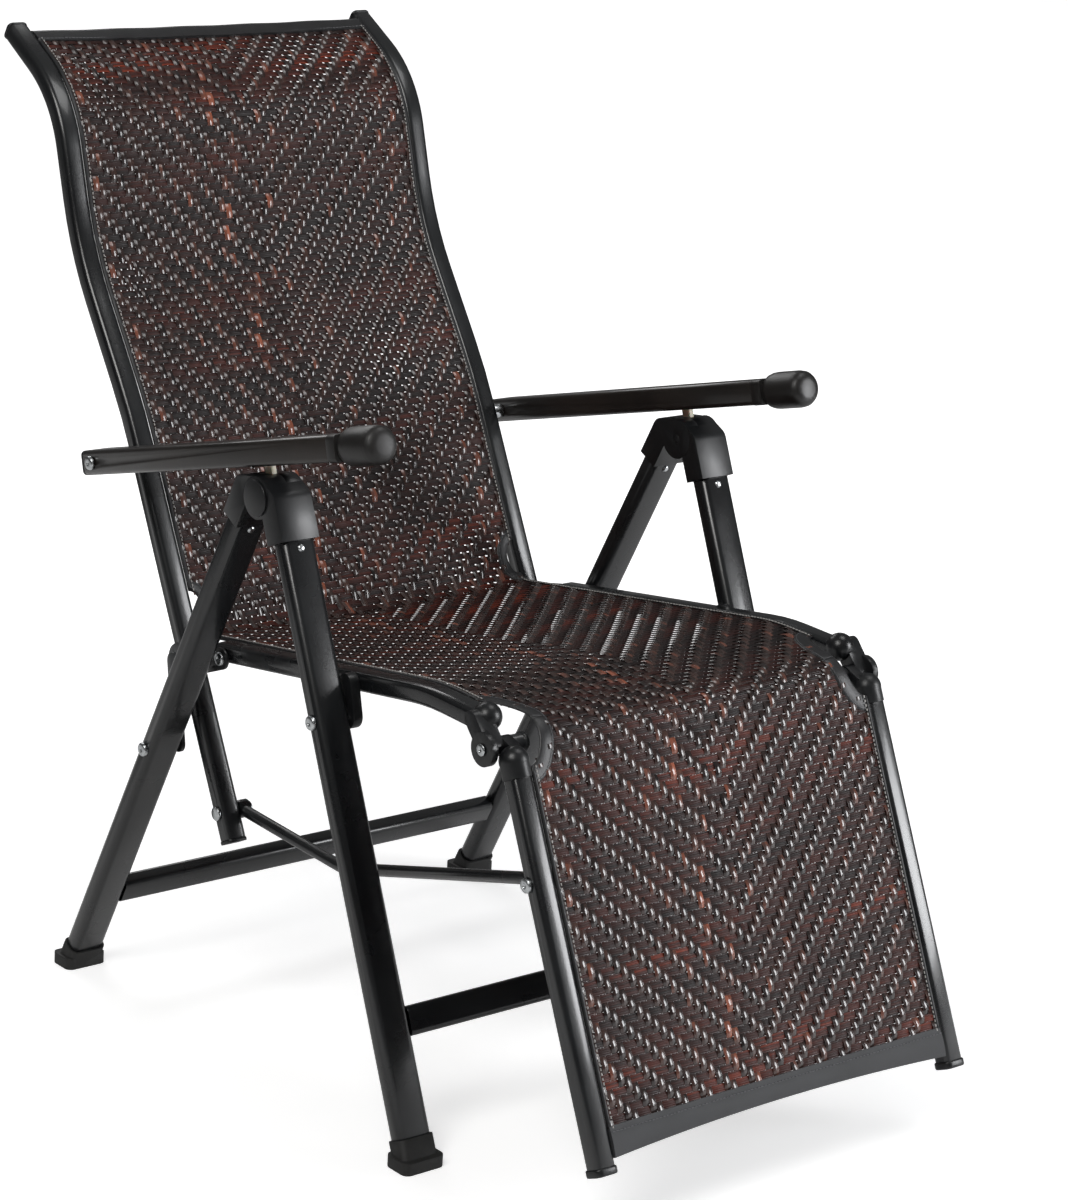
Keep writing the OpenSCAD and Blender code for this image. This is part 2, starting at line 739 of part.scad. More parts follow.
module foot_tube_body(hollow = true) {
    translate([rail_x, 0, 0]) beam(foot_start, foot_end) section(rail_w, rail_d, corner_rail, hollow);
}

module foot_tube(side) {
    color("#26282a") on_side(side) difference() {
        foot_tube_body();
        pin(link_front, 0, 2 * out_x, bore_d);
    }
}

// Domed cap on the top of the footrest tube, with the inner half of the knee hinge
module foot_socket(side) {
    color("#1e1f20") on_side(side) difference() {
        union() {
            translate([rail_x, foot_start[0], foot_start[1]]) sphere(r = ball_r);
            translate([rail_x, 0, 0]) beam(foot_start, foot_start + foot_dir * cap_len) circle(r = ball_r - 0.4);
            slab(rail_in, hub_x) polygon(tab(knee, barrel_d / 2 + 1, foot_start, barrel_d / 2));
        }
        foot_tube_body(false);
        pin(knee, 0, 2 * out_x, bore_d);
    }
}

module foot_cap(side) {
    color("#1e1f20") on_side(side) translate([rail_x, 0, 0]) beam(foot_end, foot_end + foot_dir * 8)
        section(rail_w + 3, rail_d + 3, corner_rail + 1, false);
}

module foot_sling() {
    color("#3b2620") difference() {
        beam(foot_start + foot_dir * 1.3, foot_end - foot_dir * (hem_h + 6)) polygon(flat(sling_off));
        edge_cut(knee, knee_cut);
    }
}

module foot_hem() {
    color("#3a3c3d") beam(foot_end - foot_dir * (hem_h + 6), foot_end - foot_dir * 6)
        polygon(flat(sling_off));
}

module link_bolts() {
    color("#c9ccce") for (side = [LEFT, RIGHT]) on_side(side) {
        pin(link_front, rail_in, rail_out + 1, bolt_d);
        pin(link_front, rail_out, rail_out + head_h, head_d);
    }
}

front_leg(LEFT);  // front_leg_l
front_leg(RIGHT);  // front_leg_r
front_crossbar();
front_foot(LEFT);  // front_foot_l
front_foot(RIGHT);  // front_foot_r
front_knuckle(LEFT);  // front_knuckle_l
front_knuckle(RIGHT);  // front_knuckle_r
apex_pins();
front_rivets();
seat_pivot_bolts();
lock_tongues();
rear_leg(LEFT);  // rear_leg_l
rear_leg(RIGHT);  // rear_leg_r
rear_crossbar();
rear_foot(LEFT);  // rear_foot_l
rear_foot(RIGHT);  // rear_foot_r
rear_knuckle(LEFT);  // rear_knuckle_l
rear_knuckle(RIGHT);  // rear_knuckle_r
rear_rivets();
strap_bolts();
strap(LEFT);  // strap_l
strap(RIGHT);  // strap_r
seat_rail(LEFT);  // seat_rail_l
seat_rail(RIGHT);  // seat_rail_r
seat_hanger(LEFT);  // seat_hanger_l
seat_hanger(RIGHT);  // seat_hanger_r
seat_knee_socket(LEFT);  // seat_knee_socket_l
seat_knee_socket(RIGHT);  // seat_knee_socket_r
back_hinge_bolts();
seat_sling();
back_bracket(LEFT);  // back_bracket_l
back_bracket(RIGHT);  // back_bracket_r
back_tube(LEFT);  // back_tube_l
back_tube(RIGHT);  // back_tube_r
head_rod();
back_caps();
back_plugs();
recline_bolts();
back_sling();
arm_bolts();
armrest(LEFT);  // armrest_l
armrest(RIGHT);  // armrest_r
arm_slide(LEFT);  // arm_slide_l
arm_slide(RIGHT);  // arm_slide_r
arm_grip(LEFT);  // arm_grip_l
arm_grip(RIGHT);  // arm_grip_r
arm_plugs();
link_pins();
link_rod(LEFT);  // link_rod_l
link_rod(RIGHT);  // link_rod_r
knee_barrels();
foot_tube(LEFT);  // foot_tube_l
foot_tube(RIGHT);  // foot_tube_r
foot_socket(LEFT);  // foot_socket_l
foot_socket(RIGHT);  // foot_socket_r
foot_cap(LEFT);  // foot_cap_l
foot_cap(RIGHT);  // foot_cap_r
foot_sling();
foot_hem();
link_bolts();
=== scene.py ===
import bpy
import bmesh
import json
import math
import numpy as np
from collections import namedtuple
from mathutils import Matrix, Vector


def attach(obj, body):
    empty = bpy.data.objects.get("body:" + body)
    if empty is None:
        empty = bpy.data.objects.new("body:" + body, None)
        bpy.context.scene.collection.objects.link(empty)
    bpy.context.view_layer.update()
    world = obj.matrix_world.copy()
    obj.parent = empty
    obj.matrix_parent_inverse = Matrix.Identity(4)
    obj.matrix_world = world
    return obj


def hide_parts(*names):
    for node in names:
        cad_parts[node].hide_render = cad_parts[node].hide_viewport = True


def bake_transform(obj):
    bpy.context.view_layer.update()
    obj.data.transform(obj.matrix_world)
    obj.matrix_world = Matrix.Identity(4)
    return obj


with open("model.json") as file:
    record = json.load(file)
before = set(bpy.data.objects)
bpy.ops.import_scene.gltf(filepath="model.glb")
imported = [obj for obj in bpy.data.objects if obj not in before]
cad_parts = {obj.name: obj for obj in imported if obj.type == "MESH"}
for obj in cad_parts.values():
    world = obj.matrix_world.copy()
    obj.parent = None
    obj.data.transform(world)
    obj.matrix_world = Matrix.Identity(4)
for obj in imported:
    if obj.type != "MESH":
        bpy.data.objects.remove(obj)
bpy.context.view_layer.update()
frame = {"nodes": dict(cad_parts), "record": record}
nodes = frame["nodes"]
body_of = {n: b for b, group in frame["record"]["behaviour"]["bodies"].items() for n in group}
slot_of = {s["node"]: s["material_slot"] for s in frame["record"]["subparts"]}
SIDES = ((1, "l"), (-1, "r"))

# sockets of a Mix node, which go by number because each name is there once for every type
FACTOR, COLOUR_A, COLOUR_B, COLOUR_OUT = 0, 6, 7, 2
VALUE_A, VALUE_B = 2, 3


def tone(code):
    """An sRGB hex value as linear colour."""
    parts = [int(code[i:i + 2], 16) / 255 for i in (1, 3, 5)]
    return (*(c / 12.92 if c <= 0.04045 else ((c + 0.055) / 1.055) ** 2.4 for c in parts), 1.0)


def wire(tree, node, inputs):
    """Gives a node's inputs, by name or number, a value or another node's output."""
    for key, value in inputs.items():
        if isinstance(value, bpy.types.NodeSocket):
            tree.links.new(value, node.inputs[key])
        else:
            node.inputs[key].default_value = value


def add(tree, kind, inputs=None, **settings):
    """Adds a node with its settings and its inputs."""
    made = tree.nodes.new(kind)
    for key, value in settings.items():
        setattr(made, key, value)
    wire(tree, made, inputs or {})
    return made


def blank(name):
    """A new material with nothing in it but its shader and the output."""
    mat = bpy.data.materials.new(name)
    mat.use_nodes = True
    tree = mat.node_tree
    tree.nodes.clear()
    shader = add(tree, "ShaderNodeBsdfPrincipled")
    add(tree, "ShaderNodeOutputMaterial", {"Surface": shader.outputs["BSDF"]})
    return mat, tree, shader


# Finishes of the frame. Scales count features per metre.

def powder_coat(name, dark, light, rough):
    """Polyester powder coat baked on steel tube: an even satin black with a faint orange peel that
    breaks up the long highlights, and slightly greyer, duller patches where hands rub it."""
    mat, tree, shader = blank(name)
    place = add(tree, "ShaderNodeTexCoord").outputs["Object"]
    # the peel is about 2.4 mm across on a real tube
    peel = add(tree, "ShaderNodeTexNoise",
               {"Vector": place, "Scale": 420.0, "Detail": 3.0, "Roughness": 0.6})
    patch = add(tree, "ShaderNodeTexNoise",
                {"Vector": place, "Scale": 9.0, "Detail": 4.0, "Roughness": 0.55})
    rubbed = add(tree, "ShaderNodeMapRange", {"Value": patch.outputs["Fac"], "From Min": 0.35,
                                              "From Max": 0.7, "To Min": 0.0, "To Max": 1.0})
    colour = add(tree, "ShaderNodeMix", {FACTOR: rubbed.outputs[0], COLOUR_A: tone(dark),
                                         COLOUR_B: tone(light)}, data_type="RGBA")
    gloss = add(tree, "ShaderNodeMapRange",
                {"Value": patch.outputs["Fac"], "From Min": 0.3, "From Max": 0.75,
                 "To Min": rough - 0.05, "To Max": rough + 0.09})
    bump = add(tree, "ShaderNodeBump",
               {"Height": peel.outputs["Fac"], "Strength": 0.16, "Distance": 0.0006})
    wire(tree, shader, {"Base Color": colour.outputs[COLOUR_OUT], "Roughness": gloss.outputs[0],
                        "Normal": bump.outputs["Normal"], "IOR": 1.5, "Coat Weight": 0.4,
                        "Coat Roughness": 0.12})
    return mat


def polypropylene(name, dark, light, rough, grain):
    """Injection moulded plastic with a fine spark-eroded skin: semi-gloss, softer highlights than
    the tubes, and a little scuffing that lightens parts of it."""
    mat, tree, shader = blank(name)
    place = add(tree, "ShaderNodeTexCoord").outputs["Object"]
    # real spark grain is 0.1 mm, drawn 0.7 to 0.9 mm wide so that it shows
    skin = add(tree, "ShaderNodeTexVoronoi", {"Vector": place, "Scale": grain})
    cloud = add(tree, "ShaderNodeTexNoise", {"Vector": place, "Scale": 22.0, "Detail": 5.0})
    colour = add(tree, "ShaderNodeMix", {FACTOR: cloud.outputs["Fac"], COLOUR_A: tone(dark),
                                         COLOUR_B: tone(light)}, data_type="RGBA")
    gloss = add(tree, "ShaderNodeMapRange",
                {"Value": cloud.outputs["Fac"], "From Min": 0.3, "From Max": 0.7,
                 "To Min": rough - 0.06, "To Max": rough + 0.08})
    bump = add(tree, "ShaderNodeBump",
               {"Height": skin.outputs["Distance"], "Strength": 0.10, "Distance": 0.0004})
    wire(tree, shader, {"Base Color": colour.outputs[COLOUR_OUT], "Roughness": gloss.outputs[0],
                        "Normal": bump.outputs["Normal"], "IOR": 1.49})
    return mat


def zinc_plate(name):
    """Bright zinc on turned steel: a cool mirror broken by fine turning marks and a cloudy film."""
    mat, tree, shader = blank(name)
    place = add(tree, "ShaderNodeTexCoord").outputs["Object"]
    cloud = add(tree, "ShaderNodeTexNoise", {"Vector": place, "Scale": 260.0, "Detail": 4.0})
    # real turning marks are 0.1 mm apart, drawn 0.7 mm apart so that they show
    marks = add(tree, "ShaderNodeTexNoise", {"Vector": place, "Scale": 1400.0, "Detail": 2.0})
    colour = add(tree, "ShaderNodeMix", {FACTOR: cloud.outputs["Fac"], COLOUR_A: tone("#a9adb0"),
                                         COLOUR_B: tone("#dfe2e3")}, data_type="RGBA")
    gloss = add(tree, "ShaderNodeMapRange", {"Value": marks.outputs["Fac"], "From Min": 0.3,
                                             "From Max": 0.7, "To Min": 0.16, "To Max": 0.34})
    bump = add(tree, "ShaderNodeBump",
               {"Height": marks.outputs["Fac"], "Strength": 0.12, "Distance": 0.0002})
    wire(tree, shader, {"Base Color": colour.outputs[COLOUR_OUT], "Roughness": gloss.outputs[0],
                        "Metallic": 1.0, "Normal": bump.outputs["Normal"]})
    return mat


def moulded_rubber(name):
    """Compression moulded rubber: matt, with pores and with greyer patches of dust."""
    mat, tree, shader = blank(name)
    place = add(tree, "ShaderNodeTexCoord").outputs["Object"]
    dust = add(tree, "ShaderNodeTexNoise",
               {"Vector": place, "Scale": 60.0, "Detail": 6.0, "Roughness": 0.7})
    pores = add(tree, "ShaderNodeTexVoronoi", {"Vector": place, "Scale": 900.0})
    colour = add(tree, "ShaderNodeMix", {FACTOR: dust.outputs["Fac"], COLOUR_A: tone("#161616"),
                                         COLOUR_B: tone("#2c2c2b")}, data_type="RGBA")
    bump = add(tree, "ShaderNodeBump",
               {"Height": pores.outputs["Distance"], "Strength": 0.2, "Distance": 0.0004})
    wire(tree, shader, {"Base Color": colour.outputs[COLOUR_OUT], "Roughness": 0.58,
                        "Normal": bump.outputs["Normal"], "IOR": 1.5})
    return mat


def cream_nylon(name):
    """Unpainted moulded nylon: warm cream, slightly translucent, waxy gloss."""
    mat, tree, shader = blank(name)
    place = add(tree, "ShaderNodeTexCoord").outputs["Object"]
    cloud = add(tree, "ShaderNodeTexNoise", {"Vector": place, "Scale": 90.0, "Detail": 3.0})
    colour = add(tree, "ShaderNodeMix", {FACTOR: cloud.outputs["Fac"], COLOUR_A: tone("#c9bfa6"),
                                         COLOUR_B: tone("#e4dcc6")}, data_type="RGBA")
    bump = add(tree, "ShaderNodeBump",
               {"Height": cloud.outputs["Fac"], "Strength": 0.1, "Distance": 0.0004})
    wire(tree, shader, {"Base Color": colour.outputs[COLOUR_OUT], "Roughness": 0.38,
                        "Normal": bump.outputs["Normal"], "IOR": 1.53, "Subsurface Weight": 0.15})
    return mat


# Finishes of the cloth

def resin_cane(name, ribs, dark, mid, bright, rough, coat, mirror, relief):
    """Extruded polyethylene cane: ribbed along its length, glossy on the rib crowns, each strand
    its own brown from black-brown through rust to orange. UV u runs across a strand, v along it
    in metres."""
    mat, tree, shader = blank(name)
    uv = add(tree, "ShaderNodeUVMap", uv_map="strand")
    split = add(tree, "ShaderNodeSeparateXYZ", {0: uv.outputs["UV"]})
    shade = add(tree, "ShaderNodeAttribute", attribute_name="shade")
    rust = add(tree, "ShaderNodeAttribute", attribute_name="rust")
    lanes = add(tree, "ShaderNodeMath", {0: split.outputs["X"], 1: float(ribs)},
                operation="MULTIPLY")
    lane = add(tree, "ShaderNodeMath", {0: lanes.outputs[0]}, operation="FLOOR")
    key = add(tree, "ShaderNodeCombineXYZ", {0: lane.outputs[0], 1: shade.outputs["Fac"]})
    draw = add(tree, "ShaderNodeTexWhiteNoise", {"Vector": key.outputs[0]}, noise_dimensions="3D")
    run = add(tree, "ShaderNodeCombineXYZ", {0: lane.outputs[0], 1: split.outputs["Y"],
                                             2: shade.outputs["Fac"]})
    streak = add(tree, "ShaderNodeTexNoise",
                 {"Vector": run.outputs[0], "Scale": 30.0, "Detail": 3.0})
    # how far this rib goes to rust: its strand's share times its own draw and the streaks along it
    reach = add(tree, "ShaderNodeMath", {0: draw.outputs["Value"], 1: streak.outputs["Fac"]},
                operation="ADD")
    level = add(tree, "ShaderNodeMath", {0: reach.outputs[0], 1: rust.outputs["Fac"]},
                operation="MULTIPLY")
    ramp = add(tree, "ShaderNodeValToRGB", {"Fac": level.outputs[0]})
    stops = ramp.color_ramp.elements
    stops[0].color, stops[0].position = tone(dark), 0.12
    stops[1].color, stops[1].position = tone(bright), 1.0
    stops.new(0.55).color = tone(mid)
    # one cosine wave for each rib, lowest between two of them
    wave = add(tree, "ShaderNodeMath", {0: lanes.outputs[0], 1: 2 * math.pi}, operation="MULTIPLY")
    crown = add(tree, "ShaderNodeMath", {0: wave.outputs[0]}, operation="COSINE")
    down = add(tree, "ShaderNodeMath", {0: crown.outputs[0], 1: -0.5}, operation="MULTIPLY")
    gloss = add(tree, "ShaderNodeMapRange",
                {"Value": streak.outputs["Fac"], "From Min": 0.3, "From Max": 0.7,
                 "To Min": rough - 0.06, "To Max": rough + 0.08})
    bump = add(tree, "ShaderNodeBump",
               {"Height": down.outputs[0], "Strength": relief, "Distance": 0.0006})
    wire(tree, shader, {"Base Color": ramp.outputs["Color"], "Roughness": gloss.outputs[0],
                        "Normal": bump.outputs["Normal"], "IOR": 1.5, "Specular IOR Level": mirror,
                        "Coat Weight": coat, "Coat Roughness": 0.12})
    return mat


def pvc_binding(name):
    """Coated binding tape: black, soft gloss, with a fine calendered grain."""
    mat, tree, shader = blank(name)
    place = add(tree, "ShaderNodeTexCoord").outputs["Object"]
    grain = add(tree, "ShaderNodeTexVoronoi", {"Vector": place, "Scale": 700.0},
                feature="SMOOTH_F1")
    cloud = add(tree, "ShaderNodeTexNoise", {"Vector": place, "Scale": 45.0, "Detail": 4.0})
    colour = add(tree, "ShaderNodeMix", {FACTOR: cloud.outputs["Fac"], COLOUR_A: tone("#131314"),
                                         COLOUR_B: tone("#29292b")}, data_type="RGBA")
    bump = add(tree, "ShaderNodeBump",
               {"Height": grain.outputs["Distance"], "Strength": 0.25, "Distance": 0.0005})
    wire(tree, shader, {"Base Color": colour.outputs[COLOUR_OUT], "Roughness": 0.42,
                        "Normal": bump.outputs["Normal"], "IOR": 1.5})
    return mat


def hem_cloth(name):
    """Coated polyester hem: dark grey plain weave under a dull film."""
    thread_gap = 0.0008
    mat, tree, shader = blank(name)
    uv = add(tree, "ShaderNodeUVMap", uv_map="strand")
    split = add(tree, "ShaderNodeSeparateXYZ", {0: uv.outputs["UV"]})
    waves = []
    for axis in ("X", "Y"):
        turns = add(tree, "ShaderNodeMath", {0: split.outputs[axis], 1: math.pi / thread_gap},
                    operation="MULTIPLY")
        waves.append(add(tree, "ShaderNodeMath", {0: turns.outputs[0]}, operation="SINE"))
    weave = add(tree, "ShaderNodeMath", {0: waves[0].outputs[0], 1: waves[1].outputs[0]},
                operation="MULTIPLY")
    place = add(tree, "ShaderNodeTexCoord").outputs["Object"]
    cloud = add(tree, "ShaderNodeTexNoise", {"Vector": place, "Scale": 25.0, "Detail": 5.0})
    colour = add(tree, "ShaderNodeMix", {FACTOR: cloud.outputs["Fac"], COLOUR_A: tone("#232426"),
                                         COLOUR_B: tone("#37383b")}, data_type="RGBA")
    bump = add(tree, "ShaderNodeBump",
               {"Height": weave.outputs[0], "Strength": 0.3, "Distance": 0.0003})
    wire(tree, shader, {"Base Color": colour.outputs[COLOUR_OUT], "Roughness": 0.6,
                        "Normal": bump.outputs["Normal"], "Sheen Weight": 0.12,
                        "Sheen Roughness": 0.5})
    return mat


def sewing_thread(name, dark, light):
    """Bonded polyester thread: dull, finely twisted, a shade lighter than the tape it holds."""
    mat, tree, shader = blank(name)
    place = add(tree, "ShaderNodeTexCoord").outputs["Object"]
    twist = add(tree, "ShaderNodeTexWave", {"Vector": place, "Scale": 900.0, "Distortion": 2.0})
    colour = add(tree, "ShaderNodeMix", {FACTOR: twist.outputs["Fac"], COLOUR_A: tone(dark),
                                         COLOUR_B: tone(light)}, data_type="RGBA")
    wire(tree, shader, {"Base Color": colour.outputs[COLOUR_OUT], "Roughness": 0.55})
    return mat


STEEL = powder_coat("powder_coated_steel", "#0c0d0f", "#17191b", rough=0.27)
ARM = powder_coat("brown_black_powder_coat", "#15110f", "#241e1a", rough=0.36)
PLATE = powder_coat("coated_plate_steel", "#121315", "#232527", rough=0.38)
PLASTIC = polypropylene("moulded_black_polypropylene", "#0c0d0e", "#1b1c1e", rough=0.32,
                        grain=1400.0)
GRIP = polypropylene("soft_black_grip", "#11100f", "#211f1e", rough=0.4, grain=1100.0)
RUBBER = moulded_rubber("moulded_rubber")
ZINC = zinc_plate("bright_zinc_plate")
NYLON = cream_nylon("cream_nylon")
WARP = resin_cane("resin_cane_warp", 2, "#140e0d", "#46302a", "#a35a40",
                  rough=0.22, coat=0.45, mirror=0.6, relief=0.28)
WEFT = resin_cane("resin_cane_weft", 4, "#110807", "#40160d", "#7a2e17",
                  rough=0.42, coat=0.0, mirror=0.28, relief=0.5)
TAPE = pvc_binding("black_pvc_binding")
HEM = hem_cloth("coated_polyester_hem")
THREAD = sewing_thread("polyester_thread", "#3c3d40", "#6c6d70")
EDGE_THREAD = sewing_thread("edge_thread", "#7d7b79", "#c9c6c2")
FINISH = {"frame_steel": STEEL, "arm_steel": ARM, "plate_steel": PLATE, "black_plastic": PLASTIC,
          "foot_rubber": RUBBER, "grip_foam": GRIP, "zinc": ZINC, "nylon": NYLON}


# Meshes

def set_out(name, data):
    """A new object in the scene."""
    made = bpy.data.objects.new(name, data)
    bpy.context.scene.collection.objects.link(made)
    return made


def piece(name, verts, faces, material, uv=None, marks=None):
    """A smooth mesh object at the origin. uv holds a pair for each corner of each face, in order,
    and marks holds a number for each point under each name."""
    mesh = bpy.data.meshes.new(name)
    mesh.from_pydata([tuple(v) for v in verts], [], [tuple(f) for f in faces])
    if uv is not None:
        layer = mesh.uv_layers.new(name="strand")
        layer.data.foreach_set("uv", np.asarray(uv, np.float32).ravel())
    for key, values in (marks or {}).items():
        attribute = mesh.attributes.new(key, "FLOAT", "POINT")
        attribute.data.foreach_set("value", np.asarray(values, np.float32))
    mesh.materials.append(material)
    mesh.shade_smooth()
    return set_out(name, mesh)


def tidy_normals(made):
    """Merges doubles and turns every face of a closed shell outwards."""
    work = bmesh.new()
    work.from_mesh(made.data)
    bmesh.ops.remove_doubles(work, verts=work.verts, dist=1e-6)
    bmesh.ops.recalc_face_normals(work, faces=work.faces)
    work.to_mesh(made.data)
    work.free()
    return made


def evaluated(made):
    """The mesh that an object's modifiers give."""
    depsgraph = bpy.context.evaluated_depsgraph_get()
    return bpy.data.meshes.new_from_object(made.evaluated_get(depsgraph))


def dress(made, body, slot, *stands_for):
    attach(made, body)
    if stands_for:
        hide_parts(*stands_for)
    return made


SHARP = 32


def refined(name, ease_width):
    """A CAD part with its edges eased and its curved faces smooth, in its real finish."""
    work = bmesh.new()
    work.from_mesh(nodes[name].data)
    bmesh.ops.remove_doubles(work, verts=work.verts, dist=2e-6)
    bmesh.ops.dissolve_limit(work, angle_limit=math.radians(0.4), verts=work.verts,
                             edges=work.edges)
    mesh = bpy.data.meshes.new(name + "_fine")
    work.to_mesh(mesh)
    work.free()
    mesh.materials.append(FINISH[slot_of[name]])
    for face in mesh.polygons:
        face.material_index = 0
    made = set_out(name + "_fine", mesh)
    ease = made.modifiers.new("ease", "BEVEL")
    ease.width = ease_width
    ease.segments = 2
    ease.limit_method = "ANGLE"
    ease.angle_limit = math.radians(SHARP)
    ease.use_clamp_overlap = True
    made.data = evaluated(made)
    made.modifiers.clear()
    bpy.data.meshes.remove(mesh)
    made.data.shade_smooth()
    made.data.set_sharp_from_angle(angle=math.radians(SHARP + 6))
    dress(made, body_of[name], slot_of[name], name)


def loft(name, rings, material):
    """Joins rings of equal numbers of points, and closes both ends."""
    count = len(rings[0])
    verts = [p for ring in rings for p in ring]
    faces = []
    for k in range(len(rings) - 1):
        for j in range(count):
            a, b = k * count + j, k * count + (j + 1) % count
            faces.append((a, b, b + count, a + count))
    faces.append(tuple(range(count))[::-1])
    faces.append(tuple((len(rings) - 1) * count + j for j in range(count)))
    return tidy_normals(piece(name, verts, faces, material))


def joined(name, parts):
    """Several objects as one."""
    if len(parts) > 1:
        with bpy.context.temp_override(active_object=parts[0], object=parts[0],
                                       selected_objects=parts, selected_editable_objects=parts):
            bpy.ops.object.join()
    parts[0].name = name
    parts[0].data.name = name
    return parts[0]


# The sling's path in the side view, as (y, z) in metres from the head to the footrest. It has the
# rails' corners and bend radii, and lies a little on the sitter's side of them.

# half the width between the rails, and how far the cloth lies off their middle line
RAIL_IN = 0.223
SLING_OFF = 0.008
# each straight of the back from the top, and the seat from the rear: lean in degrees, and length
CURL, CURL_LENGTH = 59.6, 0.1125
UPPER, UPPER_LENGTH = 15.9, 0.1716
LOWER, LOWER_LENGTH = 34.4, 0.1928
SEAT, SEAT_LENGTH = 8.1 - 90, 0.3616
# how far below the tubes' tops the cloth begins, and how deep the hem at its foot is
HEAD_GAP = 0.0218
HEM_DEPTH = 0.034
BACK_TOP = np.array((0.54726, 1.01598))


def leaning(degrees):
    """The direction (y, z) that leans back from upright by an angle."""
    return np.array((math.sin(math.radians(degrees)), math.cos(math.radians(degrees))))


HEAD_END = BACK_TOP - HEAD_GAP * leaning(CURL)
NECK = BACK_TOP - CURL_LENGTH * leaning(CURL)
SHOULDER = NECK - UPPER_LENGTH * leaning(UPPER)
LUMBAR = SHOULDER - LOWER_LENGTH * leaning(LOWER)
JUNCTION = np.array((0.1799, 0.4064))
SEAT_REAR = np.array((0.1055, 0.41703))
CREST = SEAT_REAR + SEAT_LENGTH * leaning(SEAT)
BROW = np.array((-0.3699, 0.4639))
FOOT_END = np.array((-0.541981, 0.07726))


def rounded(corners, radii):
    """Points along corners (y, z) joined by arcs."""
    step = 0.003
    pts = [corners[0]]
    for a, b, c, r in zip(corners, corners[1:], corners[2:], radii[1:]):
        d0 = (b - a) / np.linalg.norm(b - a)
        d1 = (c - b) / np.linalg.norm(c - b)
        angle = math.atan2(d0[0] * d1[1] - d0[1] * d1[0], float(d0 @ d1))
        side = np.array((-d0[1], d0[0])) * math.copysign(1, angle)
        start = b - d0 * r * math.tan(abs(angle) / 2)
        centre = start + side * r
        v = start - centre
        n = max(3, int(abs(angle) * r / step))
        for t in (angle * k / n for k in range(n + 1)):
            pts.append(centre + np.array((v[0] * math.cos(t) - v[1] * math.sin(t),
                                          v[0] * math.sin(t) + v[1] * math.cos(t))))
    pts = np.array([*pts, corners[-1]])
    gaps = np.linalg.norm(np.diff(pts, axis=0), axis=1)
    far = np.concatenate(([0], np.cumsum(gaps)))
    s = np.linspace(0, far[-1], int(far[-1] / step) + 2)
    return np.stack((np.interp(s, far, pts[:, 0]), np.interp(s, far, pts[:, 1])), axis=1)


class Run:
    """A line in the side view with its arc length and its normal on the sitter's side."""

    def __init__(self, pts, off):
        d = np.gradient(pts, axis=0)
        d /= np.linalg.norm(d, axis=1)[:, None]
        self.n = np.stack((d[:, 1], -d[:, 0]), axis=1)
        self.pts = pts + off * self.n
        steps = np.linalg.norm(np.diff(self.pts, axis=0), axis=1)
        self.s = np.concatenate(([0], np.cumsum(steps)))
        self.length = self.s[-1]

    def at(self, s):
        """Place (y, z) and normal (y, z) at arc length s."""
        return [np.interp(s, self.s, column) for column in (*self.pts.T, *self.n.T)]

    def nearest(self, p):
        return float(self.s[np.argmin(np.linalg.norm(self.pts - np.asarray(p), axis=1))])


SLING = Run(rounded([HEAD_END, NECK, SHOULDER, LUMBAR, JUNCTION, CREST, BROW, FOOT_END],
                    [0, 0.140, 0.358, 0.566, 0.030, 0.300, 0.030, 0]), SLING_OFF)
HEM_TOP = SLING.length - HEM_DEPTH
HINGE_S = SLING.nearest((0.1690, 0.4205))
KNEE_S = SLING.nearest((-0.3655, 0.4735))
# a half-moon: its middle along the sling, its reach each way from there, and its depth
HINGE_CUT = (HINGE_S - 0.030, 0.020, 0.012)
KNEE_CUT = (KNEE_S - 0.003, 0.052, 0.022)

# each stretch of cloth, from start to end along the sling: it turns from the first body to the
# second between turn_from and turn_to, stands for CAD solids, and rests on a pair of tubes
Stretch = namedtuple("Stretch", "start end bodies turn_from turn_to stands_for rests_on")
STRETCHES = {
    "back": Stretch(0.004, HINGE_S, ("brackets", "back"), HINGE_S - 0.002, HINGE_S - 0.050,
                    ["back_sling"], "back_tube"),
    "rear_seat": Stretch(HINGE_S, HINGE_S + 0.22, ("seat", "brackets"), HINGE_S + 0.100,
                         HINGE_S + 0.050, [], "seat_rail"),
    "front_seat": Stretch(HINGE_S + 0.22, KNEE_S, ("seat", "knees"), KNEE_S - 0.045,
                          KNEE_S - 0.002, ["seat_sling"], "seat_rail"),
    "footrest": Stretch(KNEE_S, HEM_TOP, ("knees", "footrest"), KNEE_S + 0.002, KNEE_S + 0.045,
                        ["foot_sling"], "foot_tube"),
}


def half_width(s):
    """Half the sling's width at s, less the half-moons cut out at the hinge and at the knee."""
    s = np.asarray(s, float)
    w = np.full_like(s, RAIL_IN)
    for centre, reach, depth in (HINGE_CUT, KNEE_CUT):
        w = w - depth * np.sqrt(np.clip(1 - ((s - centre) / reach) ** 2, 0, None))
    return w


DIP = 0.004
SEAT_DIP, SEAT_MIDDLE, SEAT_REACH = 0.004, HINGE_S + 0.21, 0.13


def surface(x, s, lift):
    """Points above the stretched sling, which dips between the rails, most of all in the seat."""
    y, z, ny, nz = SLING.at(s)
    dip = DIP + SEAT_DIP * np.exp(-((np.asarray(s) - SEAT_MIDDLE) / SEAT_REACH) ** 2)
    drop = lift - dip * (1 - (np.asarray(x) / RAIL_IN) ** 2)
    return np.stack((np.broadcast_to(x, np.shape(drop)), y + drop * ny, z + drop * nz), axis=-1)


def on_sling(x, s, lift):
    return tuple(float(v) for v in surface(x, s, lift))


def lay_on(made):
    """Bakes a piece's placement into its mesh."""
    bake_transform(made)


# The woven cane: a twill of flat strands, over two and under two

COLUMNS = 55
COLUMN = 2 * RAIL_IN / COLUMNS
PICK = 0.0081
MIDDLE = COLUMNS // 2
REPEAT = 4
